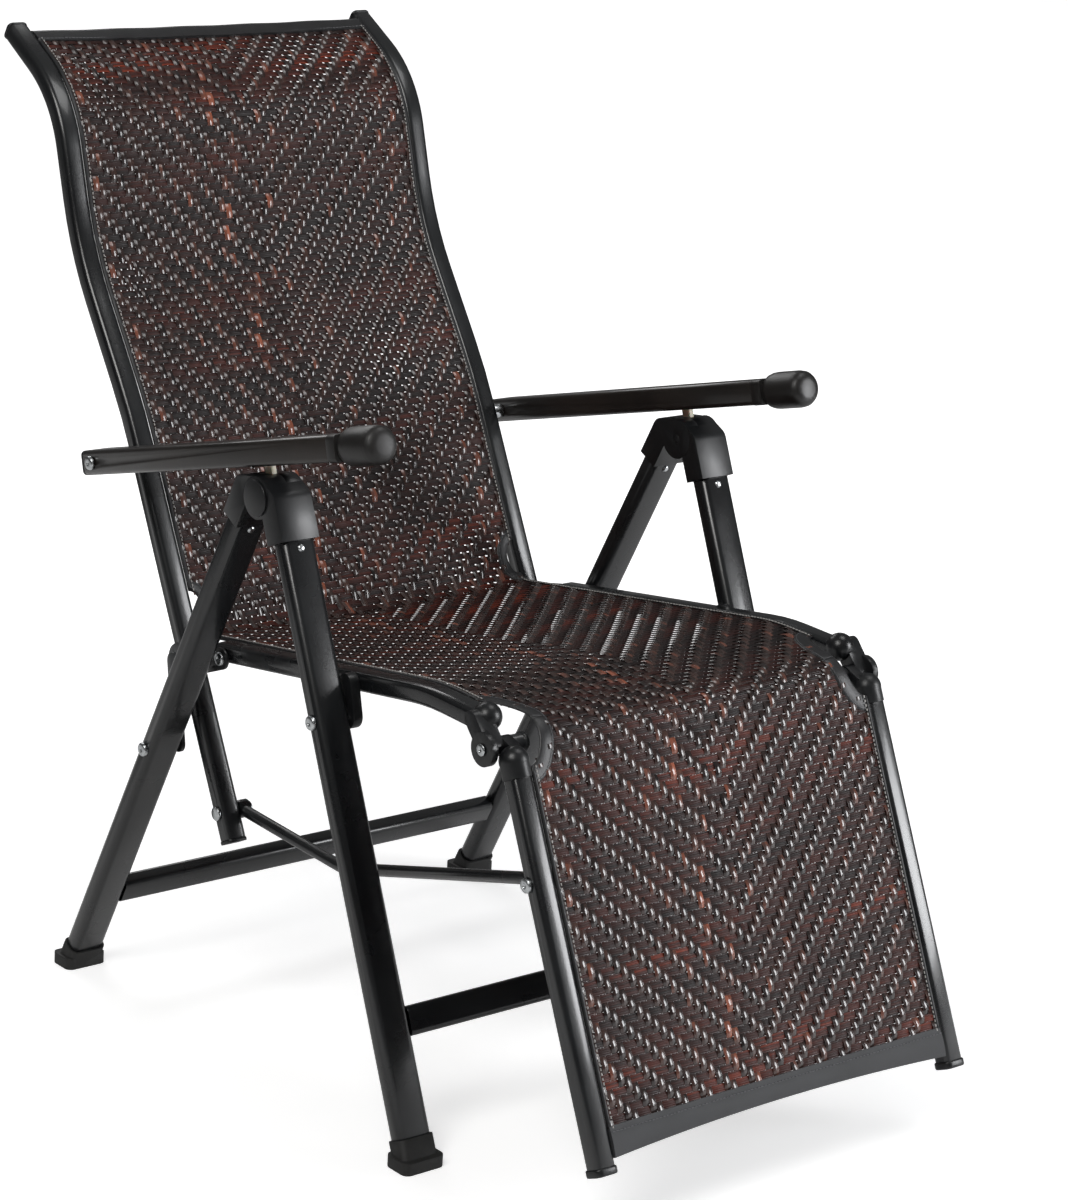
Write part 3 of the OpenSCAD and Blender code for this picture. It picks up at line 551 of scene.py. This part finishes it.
# a strand's section: places across its width, and how far each stands from its middle plane
WARP_ACROSS = 0.0078 * np.array((-0.5, -0.36, 0.0, 0.36, 0.5))
WARP_CROWN = np.array((-0.00042, 0.00012, -0.00006, 0.00012, -0.00042))
WARP_LOW, WARP_RISE = -0.0011, 0.0026
WEFT_ACROSS = 0.0077 * np.array((-0.5, -0.25, 0.0, 0.25, 0.5))
WEFT_CROWN = np.array((-0.00035, 0.00008, 0.00014, 0.00008, -0.00035))
WEFT_LOW, WEFT_RISE = -0.0008, 0.0014
# a float's middle and reach along its strand, in crossing strands
WARP_FLOAT, WEFT_FLOAT = (1.5, 1.2), (3.5, 1.35)
# a strand that has come up leans a little towards the middle
LEAN = 0.0006
# how much of its width a strand loses where light comes through
WARP_SLIM, WEFT_SLIM = 0.10, 0.11
# how far from a half-moon's edge a warp ends, and how much of the column must still be there
CUT_GAP, CUT_LEFT = 0.005, 0.0025
# the warps between these two x carry the orange streaks
ORANGE = (-0.052, -0.014)
# where the weave has been pushed apart and light comes through: (x, s, reach across, reach along)
THIN = ((-0.185, 0.075, 0.03, 0.05), (0.105, 0.055, 0.07, 0.05), (-0.19, 0.30, 0.03, 0.03),
        (0.17, HINGE_S - 0.03, 0.05, 0.04), (-0.15, HINGE_S - 0.015, 0.05, 0.02),
        (0.12, 0.42, 0.04, 0.05))

# more picks than the sling has; rust comes in bands of about five picks
PICKS, BAND = 400, 5
dice = np.random.default_rng(12)
pick_shade = dice.random(PICKS)
column_shade = dice.random(COLUMNS)
pick_rust = np.convolve(dice.random(PICKS + 20), np.ones(BAND) / BAND, "same")[:PICKS]
pick_rust = np.clip((pick_rust - 0.3) / 0.4, 0, 1)


def rust_of(s):
    """Rustier weft at the head's curl, towards the seat's rear and on the footrest."""
    head = np.clip(1 - s / 0.13, 0, 1)
    seat = np.exp(-((s - HINGE_S - 0.05) / 0.16) ** 2)
    foot = np.clip((s - KNEE_S) / 0.1, 0, 1)
    return float(np.clip(0.55 + 0.55 * head + 0.35 * seat + 0.225 * foot, 0, 1.1))


def thinness(x, s):
    """How far the strands have been pushed apart here, 0 to 1."""
    level = np.max([np.exp(-((x - x0) / across) ** 2 - ((s - s0) / along) ** 2)
                    for x0, s0, across, along in THIN], axis=0)
    return np.clip((level - 0.35) / 0.3, 0, 1)


def arch(t, middle, reach):
    """A float's height over its repeat: 1 at the middle of the float and 0 beyond its reach, which,
    like t, counts crossing strands."""
    away = np.abs((t - middle + REPEAT / 2) % REPEAT - REPEAT / 2)
    return np.clip(1 - (away / reach) ** 2, 0, None)


def warp_tracks(start, end):
    """Each warp runs over two picks and under two, one pick later in the next column, and the two
    halves mirror each other, so that the twill makes a V down the middle. A float is bowed along
    its length, so that the light picks out one end of it."""
    tracks = []
    s = np.arange(start, end + PICK / 8, PICK / 4)
    s = np.append(s[s < end - 1e-6], end)
    for i in range(COLUMNS):
        x = -RAIL_IN + (i + 0.5) * COLUMN
        inside = half_width(s) - CUT_GAP > abs(x) + CUT_LEFT
        if i in (0, COLUMNS - 1):
            inside = half_width(s) > RAIL_IN - 0.001
        t = s / PICK + abs(i - MIDDLE)
        lift = WARP_LOW + WARP_RISE * arch(t, *WARP_FLOAT)
        # each warp has its own share of rust, with a streak about every 0.1 m
        rust = 0.22 + 0.16 * column_shade[(i * 7) % COLUMNS]
        rust = rust + 0.20 * np.clip(np.sin(s * 61 + i * 2.4), 0, 1) ** 2
        if ORANGE[0] < x < ORANGE[1]:
            rust = 0.44 + 0.20 * np.sin(s * 47 + i * 1.3)
        lean = LEAN * np.sign(i - MIDDLE) * np.sin(2 * np.pi * (t - 0.5) / REPEAT)
        cuts = np.flatnonzero(np.diff(inside.astype(int))) + 1
        for part in np.split(np.arange(len(s)), cuts):
            if len(part) < 3 or not inside[part[0]]:
                continue
            along = s[part][:, None]
            slim = 1 - WARP_SLIM * thinness(x, along)
            pts = surface(x + WARP_ACROSS * slim + lean[part][:, None], along,
                          lift[part][:, None] + WARP_CROWN)
            tracks.append((pts, column_shade[i], rust[part], s[part]))
    return tracks


def weft_tracks(start, end):
    """Each weft passes over two warps and dips under the next two."""
    tracks = []
    for j in range(math.ceil(start / PICK - 1e-6), math.floor(end / PICK + 1e-6) + 1):
        s0 = j * PICK
        if not start - 1e-9 <= s0 < end - 1e-9:
            continue
        w = float(half_width(s0)) - 0.001
        x = np.arange(-MIDDLE * 4 - 2, MIDDLE * 4 + 3) * COLUMN / 4
        x = np.concatenate(([-w], x[np.abs(x) < w - 0.001], [w]))
        lift = WEFT_LOW + WEFT_RISE * arch(j + np.abs(x / COLUMN), *WEFT_FLOAT)
        slim = 1 - WEFT_SLIM * thinness(x, s0)[:, None]
        s = np.clip(s0 + WEFT_ACROSS * slim, start - 0.004, end + 0.004)
        pts = surface(x[:, None], s, lift[:, None] + WEFT_CROWN)
        rust = (0.30 + 0.42 * pick_rust[j]) * rust_of(s0) * (0.85 + 0.3 * np.sin(x * 23 + j * 0.7))
        tracks.append((pts[:, ::-1], pick_shade[j], rust, x))
    return tracks


def ribbons(name, tracks, material):
    """One mesh of all ribbons; a track is (points, shade, rust, v) with points (n, k, 3)."""
    verts, faces, uv, shades, rusts = [], [], [], [], []
    base = 0
    for pts, shade, rust, v in tracks:
        n, k = pts.shape[:2]
        verts.append(pts.reshape(-1, 3))
        shades.append(np.full(n * k, shade))
        rusts.append(np.repeat(rust, k))
        a = base + (np.arange(n - 1)[:, None] * k + np.arange(k - 1)[None]).ravel()
        faces.append(np.stack((a, a + 1, a + k + 1, a + k), axis=1))
        u0 = np.tile(np.arange(k - 1) / (k - 1), n - 1)
        u1 = u0 + 1 / (k - 1)
        v0, v1 = np.repeat(v[:-1], k - 1), np.repeat(v[1:], k - 1)
        uv.append(np.stack((u0, v0, u1, v0, u1, v1, u0, v1), axis=1).reshape(-1, 2))
        base += n * k
    return piece(name, np.concatenate(verts), np.concatenate(faces), material,
                 uv=np.concatenate(uv),
                 marks={"shade": np.concatenate(shades), "rust": np.concatenate(rusts)})


for label, stretch in STRETCHES.items():
    for kind, tracks_of, cane in (("warp", warp_tracks, WARP), ("weft", weft_tracks, WEFT)):
        made = ribbons(f"{label}_{kind}", tracks_of(stretch.start, stretch.end), cane)
        lay_on(made)
        if kind == "warp" and stretch.stands_for:
            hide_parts(*stretch.stands_for)


# Bindings of the half-moons, edge beads, hems and stitching. A stitch is its pitch along the seam,
# its length and its thickness.

TAPE_THICK, TAPE_OVER = 0.0025, 0.0005
BINDING_STITCH = (0.0044, 0.0034, 0.0008)
EDGE_STITCH = (0.0046, 0.0026, 0.0013)
HEAD_STITCH = (0.0046, 0.0034, 0.0009)
HEM_STITCH = (0.0046, 0.0032, 0.0009)
STITCH_LIFT = 0.0015
# an edge bead's radius, how far its middle is from the rail and over the cloth, and the same for
# the row of stitches beside it
BEAD_R, BEAD_IN, BEAD_UP = 0.0024, 0.0015, 0.0004
ROW_IN, ROW_UP = 0.0045, 0.0026
# how near the full width the cloth is where it still meets the rail
AT_RAIL = 0.0008
# a tape's section: shares of its width across, and of its thickness up
TAPE_SECTION = ((-0.5, -0.30), (-0.5, 0.30), (-0.42, 0.50), (0.0, 0.56), (0.38, 0.50),
                (0.5, 0.15), (0.5, -0.15), (0.38, -0.50), (0.0, -0.56), (-0.42, -0.50))


def tape(name, line, width):
    """A folded tape along points (x, s): closed, rounded over its outer edge."""
    pts = np.array(line)
    d = np.gradient(pts, axis=0)
    d /= np.linalg.norm(d, axis=1)[:, None]
    across = np.stack((-d[:, 1], d[:, 0]), axis=1) * width
    return loft(name, [[on_sling(*(p + a * u), TAPE_THICK * v) for u, v in TAPE_SECTION]
                       for p, a in zip(pts, across)], TAPE)


def cut_edge(side, cut, inset):
    """Points (x, s) of a half-moon's edge, moved inwards by inset."""
    centre, reach, depth = cut
    steps = 56
    return [(side * (RAIL_IN - (depth + inset) * math.sin(math.pi * k / steps)),
             centre - (reach + inset) * math.cos(math.pi * k / steps)) for k in range(steps + 1)]


def stitch_tree():
    """Stitches laid along a curve: short six-sided threads, their sizes named inputs."""
    tree = bpy.data.node_groups.new("stitches_on_a_seam", "GeometryNodeTree")
    face = tree.interface
    face.new_socket("Geometry", in_out="INPUT", socket_type="NodeSocketGeometry")
    for label in ("Pitch", "Length", "Thickness"):
        face.new_socket(label, in_out="INPUT", socket_type="NodeSocketFloat")
    face.new_socket("Thread", in_out="INPUT", socket_type="NodeSocketMaterial")
    face.new_socket("Geometry", in_out="OUTPUT", socket_type="NodeSocketGeometry")
    enter = add(tree, "NodeGroupInput").outputs
    points = add(tree, "GeometryNodeCurveToPoints",
                 {"Curve": enter["Geometry"], "Length": enter["Pitch"]}, mode="LENGTH")
    half = add(tree, "ShaderNodeMath", {0: enter["Length"], 1: 0.5}, operation="MULTIPLY")
    lie = add(tree, "ShaderNodeMath", {0: half.outputs[0], 1: -1.0}, operation="MULTIPLY")
    start = add(tree, "ShaderNodeCombineXYZ", {2: lie.outputs[0]})
    end = add(tree, "ShaderNodeCombineXYZ", {2: half.outputs[0]})
    line = add(tree, "GeometryNodeCurvePrimitiveLine",
               {"Start": start.outputs[0], "End": end.outputs[0]})
    radius = add(tree, "ShaderNodeMath", {0: enter["Thickness"], 1: 0.5}, operation="MULTIPLY")
    circle = add(tree, "GeometryNodeCurvePrimitiveCircle",
                 {"Resolution": 6, "Radius": radius.outputs[0]})
    thread = add(tree, "GeometryNodeCurveToMesh",
                 {"Curve": line.outputs[0], "Profile Curve": circle.outputs[0], "Fill Caps": True})
    laid = add(tree, "GeometryNodeInstanceOnPoints",
               {"Points": points.outputs["Points"], "Instance": thread.outputs[0],
                "Rotation": points.outputs["Rotation"]})
    real = add(tree, "GeometryNodeRealizeInstances", {0: laid.outputs[0]})
    paint = add(tree, "GeometryNodeSetMaterial",
                {"Geometry": real.outputs[0], "Material": enter["Thread"]})
    add(tree, "NodeGroupOutput", {0: paint.outputs[0]})
    return tree


STITCHES = stitch_tree()


def seam(name, lines, stitch, thread=THREAD):
    """Stitches along lines of points, as one mesh."""
    curve = bpy.data.curves.new(name, "CURVE")
    curve.dimensions = "3D"
    for pts in lines:
        spline = curve.splines.new("POLY")
        spline.points.add(len(pts) - 1)
        for point, p in zip(spline.points, pts):
            point.co = (*p, 1)
    made = set_out(name, curve)
    lay = made.modifiers.new("stitches", "NODES")
    lay.node_group = STITCHES
    values = {"Thread": thread, **dict(zip(("Pitch", "Length", "Thickness"), stitch))}
    for item in STITCHES.interface.items_tree:
        if item.in_out == "INPUT" and item.name in values:
            lay[item.identifier] = values[item.name]
    mesh = evaluated(made)
    bpy.data.objects.remove(made)
    bpy.data.curves.remove(curve)
    return set_out(name, mesh)


def bind(label, tag, place, edge, sewn_edge, width):
    """One side's tape over a half-moon's edge (x, s), with its row of stitches."""
    if len(edge) < 4:
        return
    row = [on_sling(x, s, STITCH_LIFT) for x, s in sewn_edge]
    for made in (tape(f"{label}_binding_{tag}_{place}", edge, width),
                 seam(f"{label}_binding_stitch_{tag}_{place}", [row], BINDING_STITCH)):
        lay_on(made)
        trims[label].append(made)


trims = {label: [] for label in STRETCHES}
for side, tag in SIDES:
    for cut, place, border, width, before, after in (
            (HINGE_CUT, "hinge", HINGE_S, 0.013, "back", "rear_seat"),
            (KNEE_CUT, "knee", KNEE_S, 0.017, "front_seat", "footrest")):
        edges = cut_edge(side, cut, width / 2), cut_edge(side, cut, width - TAPE_THICK)
        # each stretch has its own part of the tape, which passes the border a little
        upper = [[p for p in edge if p[1] <= border + TAPE_OVER] for edge in edges]
        lower = [[p for p in edge if p[1] >= border - TAPE_OVER] for edge in edges]
        bind(before, tag, place, *upper, width)
        bind(after, tag, place, *lower, width)

# the bead that holds each edge of the sling in its rail, with the row of stitches beside it
for label, stretch in STRETCHES.items():
    for side, tag in SIDES:
        s = np.arange(stretch.start, stretch.end + 0.002, 0.005)
        clear = half_width(s) > RAIL_IN - AT_RAIL
        beads, rows = [], []
        for run in np.split(s, np.flatnonzero(np.diff(clear.astype(int))) + 1):
            if len(run) < 4 or half_width(run[0]) <= RAIL_IN - AT_RAIL:
                continue
            turns = [2 * math.pi * a / 8 for a in range(8)]
            rings = [[on_sling(side * (RAIL_IN - BEAD_IN + BEAD_R * math.cos(t)), p,
                               BEAD_UP + BEAD_R * math.sin(t)) for t in turns] for p in run]
            beads.append(loft("bead", rings, TAPE))
            rows.append([on_sling(side * (RAIL_IN - ROW_IN), p, ROW_UP) for p in run])
        if beads:
            for made in (joined(f"{label}_edge_bead_{tag}", beads),
                         seam(f"{label}_edge_stitch_{tag}", rows, EDGE_STITCH, EDGE_THREAD)):
                lay_on(made)
                trims[label].append(made)


def head_hem():
    """The head rod's pocket: the binding goes round the rod and down on to the weave, and hangs a
    little slack between the rails."""
    rod_gap, radius, flap_length, flap_under, flap_over = 0.014, 0.0094, 0.0150, 0.0055, 0.0096
    sag, ripple, end_gap = 0.0012, 0.0003, 0.0008
    along = leaning(CURL)
    out = np.array((-along[1], along[0]))
    rod = BACK_TOP - rod_gap * along
    flap = rod - flap_length * along
    outline = [rod + radius * (math.cos(a) * out + math.sin(a) * along)
               for a in np.linspace(0, math.pi, 13)]
    outline += [flap + flap_under * out, flap + flap_over * out]
    rings = []
    for x in np.linspace(-RAIL_IN + end_gap, RAIL_IN - end_gap, 40):
        slack = sag * (1 - (x / RAIL_IN) ** 2) + ripple * math.sin(x * 71)
        rings.append([(x, p[0] - slack * out[0] * 0.4, p[1] - slack) for p in outline])
    made = loft("head_hem", rings, TAPE)
    made.data.set_sharp_from_angle(angle=math.radians(40))
    return made


def sewn_across(name, s, lift, stitch):
    """A row of stitches from rail to rail."""
    return seam(name, [[on_sling(x, s, lift) for x in np.linspace(-0.220, 0.220, 60)]], stitch)


for made in (head_hem(), sewn_across("head_hem_stitch", 0.0046, 0.0030, HEAD_STITCH)):
    dress(made, "back", "hem_cloth")
    trims["back"].append(made)


# Camera, light and floor

def set_camera():
    """The photograph's view, fitted to the chair's feet and corners: its angles, and its focal
    length in the photo's pixels."""
    width, height, focal, sensor = 1068, 1200, 3433.8, 24.0
    turn, drop, roll = math.radians(-39.838), math.radians(15.926), math.radians(3.049)
    data = bpy.data.cameras.new("photo_view")
    made = set_out("photo_view", data)
    look = Vector((-math.sin(turn) * math.cos(drop), math.cos(turn) * math.cos(drop),
                   -math.sin(drop)))
    right = Vector((math.cos(turn), math.sin(turn), 0))
    up = right.cross(look)
    r = right * math.cos(roll) + up * math.sin(roll)
    u = up * math.cos(roll) - right * math.sin(roll)
    made.matrix_world = Matrix(((r.x, u.x, -look.x, -2.21805), (r.y, u.y, -look.y, -2.77558),
                                (r.z, u.z, -look.z, 1.48472), (0, 0, 0, 1)))
    data.sensor_fit = "VERTICAL"
    data.sensor_height = sensor
    data.sensor_width = sensor * width / height
    data.lens = sensor * focal / height
    data.clip_start, data.clip_end = 0.05, 100
    bpy.context.scene.camera = made


# each soft box: name, place, what it aims at, its sides in metres, watts, colour
SOFT_BOXES = (("key", (-2.3, -1.2, 3.1), (0, 0, 0.4), (1.6, 1.6), 60, (1, 0.99, 0.97)),
              ("front_right", (2.2, -2.5, 1.15), (0, -0.1, 0.55), (1.0, 1.5), 62, (0.97, 0.98, 1)),
              ("overhead", (0.9, -0.5, 2.9), (0, -0.2, 0.4), (1.0, 1.0), 12, (1, 1, 1)),
              ("rear", (0.4, 3.0, 2.6), (0, 0.2, 0.6), (2.4, 1.0), 30, (1, 1, 1)))


def studio():
    """White sweep behind the object; what the object mirrors is a dimmer room with soft boxes."""
    for name, place, aim, sides, power, colour in SOFT_BOXES:
        data = bpy.data.lights.new(name, "AREA")
        data.shape = "RECTANGLE"
        data.size, data.size_y = sides
        data.energy = power
        data.color = colour
        made = set_out(name, data)
        made.location = place
        made.rotation_mode = "QUATERNION"
        made.rotation_quaternion = (Vector(aim) - Vector(place)).to_track_quat("-Z", "Y")
    sky = bpy.data.worlds.new("studio")
    bpy.context.scene.world = sky
    sky.use_nodes = True
    tree = sky.node_tree
    tree.nodes.clear()
    place = add(tree, "ShaderNodeTexCoord").outputs["Generated"]
    height = add(tree, "ShaderNodeSeparateXYZ", {0: place})
    room = add(tree, "ShaderNodeMapRange",
               {"Value": height.outputs["Z"], "From Min": -0.1, "From Max": 0.9, "To Min": 0.04,
                "To Max": 0.20})
    seen = add(tree, "ShaderNodeLightPath").outputs["Is Camera Ray"]
    level = add(tree, "ShaderNodeMix", {FACTOR: seen, VALUE_A: room.outputs[0], VALUE_B: 1.0},
                data_type="FLOAT")
    back = add(tree, "ShaderNodeBackground",
               {"Color": tone("#ffffff"), "Strength": level.outputs[0]})
    add(tree, "ShaderNodeOutputWorld", {"Surface": back.outputs[0]})
    view = bpy.context.scene.view_settings
    view.view_transform = "Standard"
    view.look = "None"


def lay_floor():
    """Pale studio floor. Its glow only whitens what the camera sees, and grows with the distance
    from the object; what the chair mirrors stays a plain lit floor."""
    mat, tree, shader = blank("white_studio_floor")
    place = add(tree, "ShaderNodeTexCoord").outputs["Object"]
    cloud = add(tree, "ShaderNodeTexNoise", {"Vector": place, "Scale": 1.5, "Detail": 3.0})
    colour = add(tree, "ShaderNodeMix", {FACTOR: cloud.outputs["Fac"], COLOUR_A: tone("#eeeeef"),
                                         COLOUR_B: tone("#f8f8f8")}, data_type="RGBA")
    far = add(tree, "ShaderNodeVectorMath", {0: place}, operation="LENGTH")
    glow = add(tree, "ShaderNodeMapRange",
               {"Value": far.outputs["Value"], "From Min": 0.8, "From Max": 2.6, "To Min": 0.55,
                "To Max": 1.0})
    seen = add(tree, "ShaderNodeLightPath").outputs["Is Camera Ray"]
    lit = add(tree, "ShaderNodeMath", {0: glow.outputs[0], 1: seen}, operation="MULTIPLY")
    wire(tree, shader, {"Base Color": colour.outputs[COLOUR_OUT], "Roughness": 0.7,
                        "Emission Color": tone("#ffffff"), "Emission Strength": lit.outputs[0]})
    mesh = bpy.data.meshes.new("floor")
    mesh.from_pydata([(-9, -9, 0), (9, -9, 0), (9, 9, 0), (-9, 9, 0)], [], [(0, 1, 2, 3)])
    mesh.materials.append(mat)
    set_out("floor", mesh)


set_camera()
studio()
lay_floor()


# Frame parts: CAD shapes with eased edges. Some edges are rounder, by name without the side.

EASED = {"front_knuckle": 0.0016, "rear_knuckle": 0.0016, "seat_knee_socket": 0.0018,
         "foot_socket": 0.0018, "front_foot": 0.0016, "rear_foot": 0.0016, "foot_cap": 0.0016,
         "arm_grip": 0.0015, "back_caps": 0.0014}
EASED_ELSEWHERE = 0.0007
SOFT = {"back_sling", "seat_sling", "foot_sling", "foot_hem"}
for name in sorted(nodes):
    if name not in SOFT:
        refined(name, EASED.get(name.removesuffix("_l").removesuffix("_r"), EASED_ELSEWHERE))


# Domed bolt heads on both sides, each row of bolts at its (y, z)

BOLTS = {"back_hinge_bolts": (0.093905, 0.413626), "recline_bolts": (0.173636, 0.390),
         "seat_pivot_bolts": (-0.142644, 0.418), "strap_bolts": (0.160252, 0.302),
         "arm_bolts": (0.27479, 0.592), "link_bolts": (-0.426245, 0.327373),
         "knee_barrels": (-0.358764, 0.445254)}
# how far from its axis a bolt's points are looked for, and how thick its outermost face may be
BOLT_REACH, FACE_DEPTH = 0.012, 0.0002
# a dome's share of the CAD head's radius, and how far it is let into it
DOME_SHARE, DOME_SUNK = 0.97, 0.0001
KNEE_HEAD_R = 0.0062
# a head's section, as shares of its radius: rounded rim, shallow crown and a recess in the middle
HEAD_SECTION = ((1.0, 0.0), (1.0, 0.06), (0.94, 0.13), (0.80, 0.19), (0.60, 0.23), (0.44, 0.24),
                (0.37, 0.22), (0.33, 0.03), (0.10, 0.01))


def dome(name, x, at, radius):
    """A turned bolt head on the outer face at x."""
    turns = np.linspace(0, 2 * math.pi, 28, endpoint=False)
    return loft(name, [[(x + math.copysign(h * radius, x), at[0] + r * radius * math.cos(a),
                         at[1] + r * radius * math.sin(a)) for a in turns]
                       for r, h in HEAD_SECTION], ZINC)


for name, at in BOLTS.items():
    mesh = nodes[name].data
    points = np.empty(len(mesh.vertices) * 3)
    mesh.vertices.foreach_get("co", points)
    place = nodes[name].matrix_world
    points = points.reshape(-1, 3) @ np.array(place.to_3x3()).T + np.array(place.translation)
    away = np.hypot(points[:, 1] - at[0], points[:, 2] - at[1])
    near = away < BOLT_REACH
    out = np.abs(points[near, 0])
    radius = away[near][out > out.max() - FACE_DEPTH].max() * DOME_SHARE
    if name == "knee_barrels":
        radius = KNEE_HEAD_R
    for side, tag in SIDES:
        dress(dome(f"{name}_dome_{tag}", side * (out.max() - DOME_SUNK), at, radius),
              body_of[name], "zinc")


def foot_hem():
    """Dark grey hem across the foot of the sling, its lower edge drawn up in the middle."""
    top, low = HEM_TOP - 0.002, SLING.length - 0.006
    drawn_up, thick, bulge = 0.007, 0.0026, 0.0012
    n, k = 60, 6
    rows = (n + 1) * (k + 1)

    def at(layer, i, j):
        return layer * rows + i * (k + 1) + j

    verts = []
    for side in (1, -1):
        for i in range(n + 1):
            x = -RAIL_IN + 2 * RAIL_IN * i / n
            rise = drawn_up * (1 - (x / RAIL_IN) ** 2)
            for j in range(k + 1):
                belly = thick + bulge * math.sin(math.pi * j / k)
                verts.append(on_sling(x, top + (low - rise - top) * j / k, side * belly))
    faces = []
    for i in range(n):
        for j in range(k):
            quad = [at(0, i, j), at(0, i + 1, j), at(0, i + 1, j + 1), at(0, i, j + 1)]
            faces += [quad, [v + rows for v in quad[::-1]]]
    faces += [[at(0, i, j), at(0, i + 1, j), at(1, i + 1, j), at(1, i, j)]
              for i in range(n) for j in (0, k)]
    faces += [[at(0, i, j), at(0, i, j + 1), at(1, i, j + 1), at(1, i, j)]
              for j in range(k) for i in (0, n)]
    uv = [(verts[v][0], verts[v][2]) for face in faces for v in face]
    made = tidy_normals(piece("footrest_hem", verts, faces, HEM, uv=uv))
    made.data.set_sharp_from_angle(angle=math.radians(50))
    return made


hem = dress(foot_hem(), "footrest", "hem_cloth", "foot_hem")
dress(sewn_across("footrest_hem_stitch", HEM_TOP + 0.0035, 0.0048, HEM_STITCH), "footrest",
      "hem_cloth")
